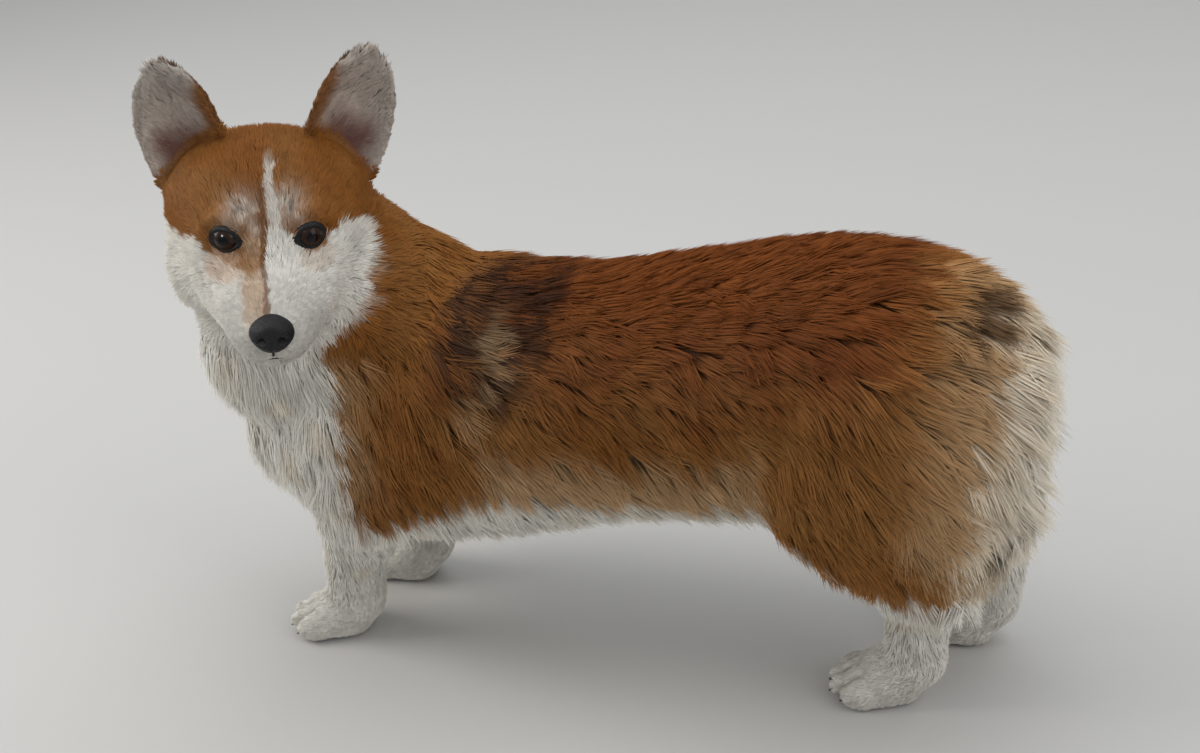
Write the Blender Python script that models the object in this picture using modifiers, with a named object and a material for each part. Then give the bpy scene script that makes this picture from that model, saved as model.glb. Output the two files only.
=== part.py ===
"""A Pembroke Welsh Corgi as a life-size still model, standing square with its head turned to look back.

The dog faces -Y, its left side is +X, up is +Z, and its four soles stand on z = 0. The solids give the
outline out to the tips of the coat. The flesh is modelled whole, as lofts and balls melted into one skin,
and then parted with thin cuts where a person would name the parts. All sizes are metres.
"""

import math

import bmesh
import bpy
from mathutils import Matrix, Vector

# Driving sizes of the dog, measured to the tips of the coat.
WITHERS_HEIGHT = 0.287
CROUP_HEIGHT = 0.304
BELLY_CLEARANCE = 0.114
CHEST_HALF_WIDTH = 0.088
LOIN_HALF_WIDTH = 0.083
CHEST_FRONT = -0.278
RUMP_REAR = 0.275

# The head's own frame has its origin in the middle of the skull, its nose to -Y and its left side to +X.
SKULL_CENTRE = Vector((0.040, -0.2065, 0.3365))
HEAD_TURN = math.radians(118)
HEAD_BOW = math.radians(-2)
HEAD_ROLL = math.radians(7)
SKULL_HALF_WIDTH = 0.0645
MUZZLE_TIP = -0.122
MUZZLE_HALF_WIDTH = 0.0235

EYE_SPACING = 0.047
EYE_RADIUS = 0.0105
EYE_DEPTH = -0.0478
NOSE_SIZE = Vector((0.0130, 0.0100, 0.0115))
NOSE_CENTRE = Vector((0.0, -0.119, -0.0370))

EAR_LENGTH = {"left": 0.086, "right": 0.079}
EAR_HALF_WIDTH = 0.0265
EAR_THICKNESS = 0.0055
EAR_CUP = 0.013
EAR_WIDEST_AT = 0.36
EAR_TIP_HALF_WIDTH = 0.0022
EAR_ROOT = Vector((0.041, 0.014, 0.012))
EAR_LEAN = {"left": math.radians(19), "right": math.radians(14)}
EAR_FACING = math.radians(12)

# Where each foot stands: the middle of the paw, and the way it points, turned outwards from -Y.
PAWS = {
    "forepaw_left": (Vector((0.036, -0.220, 0)), math.radians(12)),
    "forepaw_right": (Vector((-0.038, -0.197, 0)), math.radians(-10)),
    "hindpaw_left": (Vector((0.035, 0.177, 0)), math.radians(10)),
    "hindpaw_right": (Vector((-0.036, 0.217, 0)), math.radians(-8)),
}
ELBOW_Y = -0.1885
ELBOW_STRIDE = 0.0065
PAW_LENGTH = 0.062
PAW_WIDTH = 0.046
PAW_HEIGHT = 0.036
CLAW_LENGTH = 0.008
CLAW_RADIUS = 0.0024

GAP = 0.0003
VOXEL = 0.004
HEAD_REACH = 0.085
FINE_FACTOR = 0.00002
RING_POINTS = 28
STEPS_BETWEEN_STATIONS = 5

FAWN = (0.42, 0.17, 0.055)
DARK_FAWN = (0.33, 0.12, 0.04)
PALE_FAWN = (0.50, 0.27, 0.11)
WHITE_COAT = (0.80, 0.76, 0.69)
CREAM = (0.72, 0.58, 0.40)
EAR_PINK = (0.55, 0.38, 0.33)
EYE_BROWN = (0.02, 0.009, 0.005)
NOSE_BLACK = (0.01, 0.01, 0.011)
CLAW_HORN = (0.12, 0.09, 0.075)


def clear_scene():
    for old in list(bpy.data.objects):
        bpy.data.objects.remove(old, do_unlink=True)


def collection(name):
    made = bpy.data.collections.new(name)
    bpy.context.scene.collection.children.link(made)
    return made


def material(name, colour, roughness):
    made = bpy.data.materials.new(name)
    made.use_nodes = True
    shader = made.node_tree.nodes["Principled BSDF"]
    shader.inputs["Base Color"].default_value = (*colour, 1)
    shader.inputs["Roughness"].default_value = roughness
    shader.inputs["Metallic"].default_value = 0
    return made


def mesh_object(name, bm, home, colour=None, roughness=0.8):
    mesh = bpy.data.meshes.new(name)
    bm.to_mesh(mesh)
    bm.free()
    made = bpy.data.objects.new(name, mesh)
    home.objects.link(made)
    if colour:
        mesh.materials.append(material(name, colour, roughness))
        mesh.shade_smooth()
    return made


def blended(values, t):
    """The Catmull-Rom curve through the values, at t counted in stations."""
    at = min(int(t), len(values) - 2)
    near = [values[min(max(at + k, 0), len(values) - 1)] for k in (-1, 0, 1, 2)]
    s = t - at
    a, b, c, d = near
    return 0.5 * (2 * b + (c - a) * s + (2 * a - 5 * b + 4 * c - d) * s**2 + (3 * b - a - 3 * c + d) * s**3)


def add_loft(bm, stations, along=None, place=None, squareness=2.0, round_ends=0.6):
    """A closed tube through stations of (centre, half width, half depth), with rounded ends.

    The half width is measured along X, and the half depth square to it. The rings stand square to the
    line through the centres, or to the direction along where one is given.
    """
    across = Vector((1, 0, 0))
    place = place or Matrix.Identity(4)
    centres = [Vector(station[0]) for station in stations]
    count = (len(stations) - 1) * STEPS_BETWEEN_STATIONS
    rings = []
    for k in range(count + 1):
        t = k / STEPS_BETWEEN_STATIONS
        ahead = blended(centres, min(t + 0.05, len(centres) - 1)) - blended(centres, max(t - 0.05, 0))
        ahead = along.copy() if along else ahead
        ahead.normalize()
        rings.append([blended(centres, t), ahead, *(blended([s[i] for s in stations], t) for i in (1, 2))])
    caps = [math.radians(a) for a in (80, 55, 28)]
    first, last = rings[0], rings[-1]
    reach = [round_ends * min(ring[2], ring[3]) for ring in (first, last)]
    start = [[first[0] - first[1] * reach[0] * math.sin(a), first[1], first[2] * math.cos(a),
              first[3] * math.cos(a)] for a in caps]
    finish = [[last[0] + last[1] * reach[1] * math.sin(a), last[1], last[2] * math.cos(a),
               last[3] * math.cos(a)] for a in reversed(caps)]
    loops = []
    for centre, ahead, wide, deep in start + rings + finish:
        side = (across - ahead * across.dot(ahead)).normalized()
        rise = ahead.cross(side)
        loop = []
        for j in range(RING_POINTS):
            angle = 2 * math.pi * j / RING_POINTS
            c, s = math.cos(angle), math.sin(angle)
            point = centre + side * math.copysign(abs(c) ** (2 / squareness), c) * wide
            point += rise * math.copysign(abs(s) ** (2 / squareness), s) * deep
            loop.append(bm.verts.new(place @ point))
        loops.append(loop)
    for low, high in zip(loops, loops[1:]):
        for j in range(RING_POINTS):
            k = (j + 1) % RING_POINTS
            bm.faces.new((low[j], low[k], high[k], high[j]))
    bm.faces.new(loops[0][::-1])
    bm.faces.new(loops[-1])


def add_ball(bm, centre, radii, place=None):
    place = place or Matrix.Identity(4)
    ball = place @ Matrix.Translation(centre) @ Matrix.Diagonal((*radii, 1))
    bmesh.ops.create_uvsphere(bm, u_segments=24, v_segments=14, radius=1, matrix=ball)


def head_frame():
    turn = Matrix.Rotation(HEAD_TURN, 4, "Z")
    bow = Matrix.Rotation(HEAD_BOW, 4, "X")
    roll = Matrix.Rotation(HEAD_ROLL, 4, "Y")
    return Matrix.Translation(SKULL_CENTRE) @ turn @ bow @ roll


def paw_frame(name):
    centre, outward = PAWS[name]
    return Matrix.Translation(centre) @ Matrix.Rotation(outward, 4, "Z")


def add_trunk(bm):
    """From the breastbone over the ribs and loin to the buttocks: a long, deep, nearly level barrel."""
    def station(y, top, bottom, half_width):
        return (Vector((0, y, (top + bottom) / 2)), half_width, (top - bottom) / 2)

    add_loft(bm, [
        station(CHEST_FRONT + 0.030, 0.240, 0.118, 0.055),
        station(-0.200, 0.272, 0.096, CHEST_HALF_WIDTH - 0.008),
        station(-0.130, WITHERS_HEIGHT, 0.092, CHEST_HALF_WIDTH),
        station(-0.070, 0.281, 0.100, CHEST_HALF_WIDTH - 0.001),
        station(-0.010, 0.281, BELLY_CLEARANCE, LOIN_HALF_WIDTH + 0.001),
        station(0.060, 0.293, 0.122, LOIN_HALF_WIDTH),
        station(0.130, CROUP_HEIGHT, 0.128, 0.087),
        station(0.195, 0.299, 0.126, 0.084),
        station(RUMP_REAR - 0.030, 0.274, 0.132, 0.066),
    ], along=Vector((0, 1, 0)), squareness=2.25, round_ends=0.45)


def add_neck(bm):
    """A short thick neck in its ruff, bending to the left as it rises, with the bib below the chin."""
    add_loft(bm, [
        (Vector((0.000, -0.120, 0.200)), 0.082, 0.078),
        (Vector((0.008, -0.165, 0.245)), 0.077, 0.072),
        (Vector((0.020, -0.194, 0.285)), 0.069, 0.064),
        (Vector((0.034, -0.206, 0.325)), 0.058, 0.054),
    ])
    add_ball(bm, Vector((0.022, -0.222, 0.252)), (0.064, 0.062, 0.080))


def add_head(bm):
    """A fox-like head: flat between the ears, full in the cheeks, with a tapered muzzle."""
    place = head_frame()
    wide = SKULL_HALF_WIDTH
    tip = MUZZLE_HALF_WIDTH

    def station(y, top, bottom, half_width):
        return (Vector((0, y, (top + bottom) / 2)), half_width, (top - bottom) / 2)

    add_loft(bm, [
        station(0.050, 0.038, -0.050, wide - 0.012),
        station(0.022, 0.0475, -0.058, wide),
        station(-0.004, 0.0460, -0.062, wide - 0.001),
        station(-0.026, 0.0370, -0.064, wide - 0.007),
        station(-0.046, 0.0185, -0.065, wide - 0.016),
        station(-0.064, -0.0070, -0.065, tip + 0.0145),
        station(-0.084, -0.0175, -0.064, tip + 0.0065),
        station(-0.104, -0.0225, -0.061, tip),
        station(MUZZLE_TIP + 0.006, -0.0280, -0.054, tip - 0.0060),
    ], along=Vector((0, -1, 0)), place=place, squareness=2.15)
    for side in (1, -1):
        add_ball(bm, Vector((side * 0.041, -0.004, -0.034)), (0.025, 0.036, 0.033), place)


def add_tail(bm):
    """A bob tail, a short tuft at the top of the rump."""
    add_loft(bm, [
        (Vector((0, 0.200, 0.276)), 0.026, 0.026),
        (Vector((0, 0.232, 0.268)), 0.023, 0.021),
        (Vector((0, 0.258, 0.252)), 0.015, 0.014),
    ])


def add_foreleg(bm, side, paw):
    centre = PAWS[paw][0]
    add_loft(bm, [
        (Vector((side * 0.052, -0.155, 0.200)), 0.034, 0.062),
        (Vector((side * 0.055, ELBOW_Y + side * ELBOW_STRIDE + 0.014, 0.145)), 0.031, 0.047),
        (Vector((side * 0.045, ELBOW_Y + side * ELBOW_STRIDE, 0.104)), 0.0265, 0.033),
        (centre + Vector((side * 0.002, 0.022, 0.066)), 0.0215, 0.0245),
        (centre + Vector((0, 0.016, 0.024)), 0.0205, 0.0225),
    ])


def add_hindleg(bm, side, paw):
    """A broad thigh in long pants, falling steeply to the hock and the upright pastern."""
    centre = PAWS[paw][0]
    add_loft(bm, [
        (Vector((side * 0.048, 0.150, 0.245)), 0.040, 0.066),
        (Vector((side * 0.054, 0.164, 0.198)), 0.043, 0.080),
        (Vector((side * 0.052, 0.183, 0.155)), 0.038, 0.070),
        (Vector((side * 0.046, 0.110 + 0.5 * centre.y, 0.116)), 0.030, 0.047),
        (centre + Vector((0, 0.021, 0.074)), 0.0210, 0.0250),
        (centre + Vector((0, 0.018, 0.026)), 0.0205, 0.0225),
    ])
    add_loft(bm, [
        (Vector((side * 0.034, 0.208, 0.220)), 0.038, 0.054),
        (Vector((side * 0.036, 0.222, 0.172)), 0.038, 0.052),
        (Vector((side * 0.036, 0.212, 0.132)), 0.028, 0.036),
    ])


def toe_places():
    """Each toe's place across the paw, its reach forward and its size, from the inner toe to the outer."""
    for k, across in enumerate((-0.375, -0.13, 0.13, 0.375)):
        middle = k in (1, 2)
        yield across * PAW_WIDTH * 0.94, -PAW_LENGTH * (0.40 if middle else 0.30), 1.0 if middle else 0.92


def add_paw(bm, name):
    place = paw_frame(name)
    palm = (PAW_WIDTH * 0.48, PAW_LENGTH * 0.40, PAW_HEIGHT * 0.60)
    add_ball(bm, Vector((0, 0.004, PAW_HEIGHT * 0.44)), palm, place)
    for across, ahead, size in toe_places():
        radii = (0.0078 * size, 0.0165 * size, 0.0135 * size)
        add_ball(bm, Vector((across, ahead + 0.007, 0.0105)), radii, place)


def evaluated_copy(obj, name, home):
    """A new object with the mesh that the modifiers make of obj, which is then removed."""
    bpy.context.view_layer.update()
    graph = bpy.context.evaluated_depsgraph_get()
    mesh = bpy.data.meshes.new_from_object(obj.evaluated_get(graph))
    mesh.name = name
    bpy.data.objects.remove(obj, do_unlink=True)
    made = bpy.data.objects.new(name, mesh)
    home.objects.link(made)
    return made


def melt(obj, name, home, smoothing, share):
    """Melts overlapping shapes into one smooth skin, and thins its triangles, least on the head and paws."""
    remesh = obj.modifiers.new("melt", "REMESH")
    remesh.mode = "VOXEL"
    remesh.voxel_size = VOXEL
    smooth = obj.modifiers.new("smooth", "SMOOTH")
    smooth.factor = 0.5
    smooth.iterations = smoothing
    dense = evaluated_copy(obj, name, home)
    coarse = dense.vertex_groups.new(name="coarse")
    head = head_frame().inverted()
    for vert in dense.data.vertices:
        on_head = (head @ vert.co).length < HEAD_REACH
        coarse.add([vert.index], 0.4 if on_head or vert.co.z < PAW_HEIGHT else 1.0, "REPLACE")
    thin = dense.modifiers.new("thin", "DECIMATE")
    thin.ratio = share
    thin.vertex_group = coarse.name
    thin.vertex_group_factor = FINE_FACTOR
    return evaluated_copy(dense, name, home)


def boolean(obj, operation, *others):
    for other in others:
        cut = obj.modifiers.new(other.name, "BOOLEAN")
        cut.operation = operation
        cut.object = other
        cut.solver = "EXACT"


def copied(obj, name, home):
    made = bpy.data.objects.new(name, obj.data.copy())
    home.objects.link(made)
    return made


def hide(obj):
    obj.hide_render = True
    obj.display_type = "WIRE"
    return obj


def box_cutter(name, low, high, home, place=None, grown=0.0):
    """A box from its low corner to its high one, each face moved out by grown."""
    bm = bmesh.new()
    low, high = Vector(low), Vector(high)
    size = [high[i] - low[i] + 2 * grown for i in range(3)]
    middle = Matrix.Translation((low + high) / 2)
    bmesh.ops.create_cube(bm, size=1, matrix=(place or Matrix.Identity(4)) @ middle @ Matrix.Diagonal((*size, 1)))
    return hide(mesh_object(name, bm, home))


def grown_copy(obj, name, home, by=GAP):
    """A cutter with obj's shape, swollen along its normals by the gap."""
    made = copied(obj, name, home)
    bm = bmesh.new()
    bm.from_mesh(made.data)
    bm.normal_update()
    for vert in bm.verts:
        vert.co += vert.normal * by * 1.3
    bm.to_mesh(made.data)
    bm.free()
    return hide(made)


def largest_body(obj):
    """Keeps only the biggest connected piece, dropping slivers that a cut leaves behind."""
    bm = bmesh.new()
    bm.from_mesh(obj.data)
    bmesh.ops.remove_doubles(bm, verts=bm.verts, dist=0.00001)
    left = set(bm.verts)
    best = set()
    while left:
        found = {left.pop()}
        edge = list(found)
        while edge:
            vert = edge.pop()
            for link in vert.link_edges:
                other = link.other_vert(vert)
                if other not in found:
                    found.add(other)
                    edge.append(other)
        left -= found
        if len(found) > len(best):
            best = found
    bmesh.ops.delete(bm, geom=[v for v in bm.verts if v not in best], context="VERTS")
    bm.to_mesh(obj.data)
    bm.free()


def finish(obj, name, home, colour, roughness=0.8):
    made = evaluated_copy(obj, name, home)
    largest_body(made)
    made.data.materials.clear()
    made.data.materials.append(material(name, colour, roughness))
    made.data.shade_smooth()
    made.data.set_sharp_from_angle(angle=math.radians(50))
    return made


def cut_regions(cutters):
    """Pairs of cutters for each part of the flesh: one to keep it, and one a gap larger to part it."""
    head = head_frame()
    low_neck, nape = Vector((0, CHEST_FRONT, 0.182)), Vector((0, -0.118, WITHERS_HEIGHT))
    slope = math.atan2(nape.z - low_neck.z, nape.y - low_neck.y)
    neck = Matrix.Translation(low_neck) @ Matrix.Rotation(slope, 4, "X")
    regions = {
        "head": ((-0.078, -0.200, -0.071), (0.076, 0.046, 0.160), head),
        "neck": ((-0.200, -0.300, 0.0), (0.200, 0.300, 0.400), neck),
        "tail": ((-0.030, 0.248, 0.215), (0.030, 0.320, 0.300), None),
    }
    for side, sign in (("left", 1), ("right", -1)):
        for end, near, far, top in (("fore", -0.300, -0.135, 0.122), ("hind", 0.062, 0.330, 0.172)):
            low = (min(sign * 0.011, sign * 0.160), near, -0.010)
            high = (max(sign * 0.011, sign * 0.160), far, top)
            regions[f"{end}leg_{side}"] = (low, high, None)
            regions[f"{end}paw_{side}"] = (low, (high[0], high[1], PAW_HEIGHT), None)
    return {
        name: (box_cutter(f"keep_{name}", low, high, cutters, place),
               box_cutter(f"part_{name}", low, high, cutters, place, GAP))
        for name, (low, high, place) in regions.items()
    }


def make_flesh(home):
    bm = bmesh.new()
    add_trunk(bm)
    add_neck(bm)
    add_head(bm)
    add_tail(bm)
    for sign, side in ((1, "left"), (-1, "right")):
        add_foreleg(bm, sign, f"forepaw_{side}")
        add_hindleg(bm, sign, f"hindpaw_{side}")
        add_paw(bm, f"forepaw_{side}")
        add_paw(bm, f"hindpaw_{side}")
    flesh = melt(mesh_object("flesh_rough", bm, home), "flesh", home, smoothing=7, share=0.050)
    bm = bmesh.new()
    bm.from_mesh(flesh.data)
    cut = bmesh.ops.bisect_plane(
        bm, geom=bm.verts[:] + bm.edges[:] + bm.faces[:], dist=0.000001,
        plane_co=(0, 0, 0), plane_no=(0, 0, -1), clear_outer=True,
    )
    bmesh.ops.holes_fill(bm, edges=[e for e in cut["geom_cut"] if isinstance(e, bmesh.types.BMEdge)])
    bm.to_mesh(flesh.data)
    bm.free()
    return hide(flesh)


def part_flesh(flesh, home, cutters):
    """The flesh parted into its nodes. Each node is what its own box keeps and no earlier box takes."""
    boxes = cut_regions(cutters)
    colours = {"head": FAWN, "neck": FAWN, "tail": DARK_FAWN}
    order = ["head", "neck", "tail"]
    order += [f"{end}{kind}_{side}" for end in ("fore", "hind") for side in ("left", "right")
              for kind in ("paw", "leg")]
    parts = {}
    for name in order:
        piece = copied(flesh, f"{name}_rough", cutters)
        boolean(piece, "INTERSECT", boxes[name][0])
        if name == "neck":
            boolean(piece, "DIFFERENCE", boxes["head"][1])
        if "leg" in name:
            boolean(piece, "DIFFERENCE", boxes[name.replace("leg", "paw")][1])
        colour = colours.get(name, PALE_FAWN if name.startswith("hindleg") else WHITE_COAT)
        parts[name] = finish(piece, name, home, colour)
    trunk = copied(flesh, "trunk_rough", cutters)
    boolean(trunk, "DIFFERENCE", *(pair[1] for name, pair in boxes.items() if "paw" not in name))
    parts["trunk"] = finish(trunk, "trunk", home, FAWN)
    return parts


def refit(parts, name, home, cutter):
    """Cuts a finished node again, as for an eye's socket, keeping its material."""
    old = parts[name]
    paint = old.data.materials[0]
    boolean(old, "DIFFERENCE", cutter)
    made = evaluated_copy(old, name, home)
    largest_body(made)
    made.data.materials.clear()
    made.data.materials.append(paint)
    made.data.shade_smooth()
    made.data.set_sharp_from_angle(angle=math.radians(50))
    parts[name] = made


def make_eyes_and_nose(parts, home, cutters):
    place = head_frame()
    shapes = {"nose": (NOSE_CENTRE, NOSE_SIZE, NOSE_BLACK, 0.35)}
    for side, sign in (("left", 1), ("right", -1)):
        centre = Vector((sign * EYE_SPACING / 2, EYE_DEPTH, 0))
        shapes[f"eye_{side}"] = (centre, Vector((EYE_RADIUS,) * 3), EYE_BROWN, 0.1)
    for name, (centre, radii, colour, roughness) in shapes.items():
        for grown, made_name, target in ((0, name, home), (GAP, f"socket_{name}", cutters)):
            bm = bmesh.new()
            size = [r + grown for r in radii]
            ball = place @ Matrix.Translation(centre) @ Matrix.Diagonal((*size, 1))
            bmesh.ops.create_uvsphere(bm, u_segments=16, v_segments=10, radius=1, matrix=ball)
            paint = colour if target is home else None
            made = mesh_object(made_name, bm, target, paint, roughness)
            if target is home:
                parts[made_name] = made
            else:
                refit(parts, "head", home, hide(made))


def ear_point(u, v, length):
    """The place on the middle of the ear's leather: u from -1 to 1 across it, v from 0 up to 1 at the tip."""
    if v < EAR_WIDEST_AT:
        width = EAR_HALF_WIDTH * (0.80 + 0.20 * math.sin(math.pi / 2 * v / EAR_WIDEST_AT))
    else:
        beyond = (v - EAR_WIDEST_AT) / (1 - EAR_WIDEST_AT)
        width = EAR_HALF_WIDTH * max(1 - beyond**2.6, 0.0) ** 0.5
    x = u * max(width, EAR_TIP_HALF_WIDTH)
    cup = EAR_CUP * (1 - 0.75 * v)
    y = cup * (1 - 1.5 * u * u)
    z = length * v
    return Vector((x, y, z))


def make_ear(parts, side, sign, home, cutters):
    bm = bmesh.new()
    across, up = 8, 11
    bmesh.ops.create_grid(bm, x_segments=across, y_segments=up, size=1)
    lean = Matrix.Rotation(sign * EAR_LEAN[side], 4, "Y")
    facing = Matrix.Rotation(sign * EAR_FACING, 4, "Z")
    root = Vector((sign * EAR_ROOT.x, EAR_ROOT.y, EAR_ROOT.z))
    place = head_frame() @ Matrix.Translation(root) @ lean @ facing
    for vert in bm.verts:
        u, v = vert.co.x, (vert.co.y + 1) / 2
        vert.co = place @ ear_point(u, v, EAR_LENGTH[side])
    rough = mesh_object(f"ear_{side}_rough", bm, cutters)
    wall = rough.modifiers.new("leather", "SOLIDIFY")
    wall.thickness = EAR_THICKNESS
    wall.offset = 0
    boolean(rough, "DIFFERENCE", grown_copy(parts["head"], f"skull_for_{side}", cutters))
    parts[f"ear_{side}"] = finish(rough, f"ear_{side}", home, EAR_PINK)


def make_claws(parts, home, cutters):
    """Four claws to a paw, each a short cone that bends down from its toe's tip."""
    for paw in PAWS:
        around = grown_copy(parts[paw], f"toes_of_{paw}", cutters)
        for k, (across, ahead, size) in enumerate(toe_places()):
            tilt = Matrix.Rotation(math.radians(112), 4, "X")
            tip = Vector((across, ahead - 0.0090 * size, 0.0075))
            place = paw_frame(paw) @ Matrix.Translation(tip) @ tilt
            bm = bmesh.new()
            bmesh.ops.create_cone(bm, cap_ends=True, segments=8, radius1=CLAW_RADIUS,
                                  radius2=CLAW_RADIUS * 0.25, depth=CLAW_LENGTH, matrix=place)
            name = f"claw_{paw}_{k + 1}"
            rough = mesh_object(f"{name}_rough", bm, cutters)
            boolean(rough, "DIFFERENCE", around)
            parts[name] = finish(rough, name, home, CLAW_HORN, 0.4)


def centre_on_origin(parts):
    """Moves the whole dog so that the middle of its footprint on the floor is the origin."""
    points = [vert.co for part in parts.values() for vert in part.data.vertices]
    middle = [(min(p[i] for p in points) + max(p[i] for p in points)) / 2 for i in (0, 1)]
    for part in parts.values():
        part.data.transform(Matrix.Translation((-middle[0], -middle[1], 0)))


def main():
    clear_scene()
    home = collection("corgi")
    cutters = collection("cutters")
    flesh = make_flesh(cutters)
    parts = part_flesh(flesh, home, cutters)
    make_eyes_and_nose(parts, home, cutters)
    for side, sign in (("left", 1), ("right", -1)):
        make_ear(parts, side, sign, home, cutters)
    make_claws(parts, home, cutters)
    centre_on_origin(parts)


main()
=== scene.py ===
# %% [markdown]
# # A pembroke welsh corgi, life size
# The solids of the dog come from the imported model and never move. This script dresses them: one skin
# over all the flesh, eyes, lids, nose and lips on it, and a coat of solid tufts that lie the way the
# hair grows. Everything is measured from the solids, so each piece lands where its solid is.

# %% Load the solids
import math

import bpy
import numpy as np
from mathutils import Matrix, Vector, kdtree
from mathutils.bvhtree import BVHTree


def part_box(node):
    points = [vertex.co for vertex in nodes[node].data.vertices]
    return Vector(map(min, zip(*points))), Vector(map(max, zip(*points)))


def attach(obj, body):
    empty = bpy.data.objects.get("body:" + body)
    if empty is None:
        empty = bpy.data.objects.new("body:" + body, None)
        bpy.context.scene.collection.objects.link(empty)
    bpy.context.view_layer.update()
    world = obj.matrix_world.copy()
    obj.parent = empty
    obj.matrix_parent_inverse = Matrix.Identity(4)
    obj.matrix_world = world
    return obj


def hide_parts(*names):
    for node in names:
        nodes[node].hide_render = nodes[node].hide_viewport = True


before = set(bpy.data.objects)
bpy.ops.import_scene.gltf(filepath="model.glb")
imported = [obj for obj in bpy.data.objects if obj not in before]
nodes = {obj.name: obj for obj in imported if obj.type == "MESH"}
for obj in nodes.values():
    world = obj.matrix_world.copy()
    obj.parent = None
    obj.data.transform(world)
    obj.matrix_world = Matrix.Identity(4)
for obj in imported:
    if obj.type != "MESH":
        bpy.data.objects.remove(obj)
bpy.ops.object.select_all(action="DESELECT")
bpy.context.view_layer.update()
print("solids loaded:", len(nodes))

# %% [markdown]
# The head looks back over the dog's left shoulder, so its landmarks are easiest to give in a frame of
# its own: X to the dog's left, Y to the back of the head, Z up, with the centre of the skull as origin.
# The two eyes and the nose are enough to find that frame.

# %% The head's own frame


def centre(name):
    low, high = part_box(name)
    return (low + high) / 2


# The trunk stands a little to the right of the row frame's middle plane.
MEDIAN = -0.031
NOSE_BEYOND_EYES = 0.0712
NOSE_BELOW_EYES = 0.037
EYE_FORWARD = 0.0478
EYE_RADIUS = 0.0105

eye_middle = (centre("eye_left") + centre("eye_right")) / 2
head_x = (centre("eye_left") - centre("eye_right")).normalized()
to_nose = centre("nose") - eye_middle
to_nose = (to_nose - head_x * to_nose.dot(head_x)).normalized()
across_nose = head_x.cross(to_nose)
nose_slope = math.atan2(NOSE_BELOW_EYES, NOSE_BEYOND_EYES)
head_y = across_nose * math.sin(nose_slope) - to_nose * math.cos(nose_slope)
head_z = head_x.cross(head_y)
skull = eye_middle + head_y * EYE_FORWARD
HEAD = np.array([head_x, head_y, head_z])
SKULL = np.array(skull)


def to_head(points):
    """Points of the row frame in the head's frame."""
    return (np.asarray(points) - SKULL) @ HEAD.T


def from_head(points):
    """Points of the head's frame in the row frame."""
    return np.asarray(points) @ HEAD + SKULL


print("skull centre", SKULL.round(4), "face looks along", (-HEAD[1]).round(3))

# %% [markdown]
# The camera stands on the dog's left and looks down at it, as in the photo. Its three directions come
# from the lines of the floor tiles there.

# %% Camera
CAMERA_PLACE = Vector((0.82404, 0.31175, 0.713))
LOOK = Vector((-0.8189, -0.3059, -0.4856)).normalized()
CAMERA_RIGHT = Vector((-0.2975, 0.9498, -0.0967))
camera_back = -LOOK
camera_right = (CAMERA_RIGHT - camera_back * CAMERA_RIGHT.dot(camera_back)).normalized()
camera_up = camera_back.cross(camera_right)
bpy.ops.object.camera_add(location=CAMERA_PLACE)
camera = bpy.context.object
camera.rotation_mode = "QUATERNION"
turn = Matrix((camera_right, camera_up, camera_back)).transposed()
camera.rotation_quaternion = turn.to_quaternion()
camera.data.lens = 48
camera.data.sensor_width = 36
camera.data.clip_start = 0.01
bpy.context.scene.camera = camera
print("camera at", [round(v, 3) for v in camera.location])

# %% [markdown]
# The floor is plain and pale. Two soft panels, one before the dog and one behind it, a wide panel
# overhead and a pale room give even light. A small lamp near the camera puts the shine in the eyes.

# %% Floor and lights
bpy.ops.mesh.primitive_circle_add(vertices=64, radius=4.0, fill_type="NGON", location=(0, 0, 0))
floor = bpy.context.object
floor.name = "floor"
paint = bpy.data.materials.new("pale_floor")
paint.use_nodes = True
paint.node_tree.nodes["Principled BSDF"].inputs["Base Color"].default_value = (0.66, 0.65, 0.63, 1)
paint.node_tree.nodes["Principled BSDF"].inputs["Roughness"].default_value = 0.7
floor.data.materials.append(paint)


def soft_light(name, place, aim, size, power, tint):
    bpy.ops.object.light_add(type="AREA", location=place)
    lamp = bpy.context.object
    lamp.name = name
    lamp.data.size = size
    lamp.data.energy = power
    lamp.data.color = tint
    lamp.rotation_mode = "QUATERNION"
    lamp.rotation_quaternion = (Vector(aim) - Vector(place)).to_track_quat("-Z", "Y")
    return lamp


soft_light("key", (0.25, -1.9, 1.35), (0, -0.1, 0.25), 1.3, 21, (1.0, 0.97, 0.93))
soft_light("overhead", (-0.5, 0.2, 2.2), (0, 0, 0.2), 2.4, 23, (0.95, 0.98, 1.0))
soft_light("fill", (0.6, 2.3, 1.6), (0, 0, 0.2), 1.8, 17, (1.0, 0.98, 0.96))
catch = soft_light("catch", (0.95, -0.35, 1.15), (0.05, -0.2, 0.3), 0.26, 7, (1.0, 1.0, 1.0))
catch.visible_diffuse = False
world = bpy.data.worlds.new("pale_room")
world.use_nodes = True
world.node_tree.nodes["Background"].inputs["Color"].default_value = (0.80, 0.82, 0.85, 1)
world.node_tree.nodes["Background"].inputs["Strength"].default_value = 0.40
bpy.context.scene.world = world
bpy.context.scene.view_settings.view_transform = "Standard"

# %% [markdown]
# A few small helpers serve the whole script. A ramp is a soft step from 0 to 1. A mix blends numbers by
# a share, and layered does the same with any number of colours or directions. A ripple is smooth noise
# made of waves, which breaks up edges and colours without any picture.

# %% Helpers for soft edges
WAVES = 7
WAVE_SUM = 3.2


def ramp(value, start, end):
    share = np.clip((np.asarray(value, float) - start) / (end - start), 0, 1)
    return share * share * (3 - 2 * share)


def mix(first, second, share):
    return first * (1 - share) + second * share


def layered(rows, *layers):
    """Lays colours or directions over each other, each where its share is 1."""
    for over, share in layers:
        rows = mix(rows, over, share[:, None])
    return rows


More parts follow.
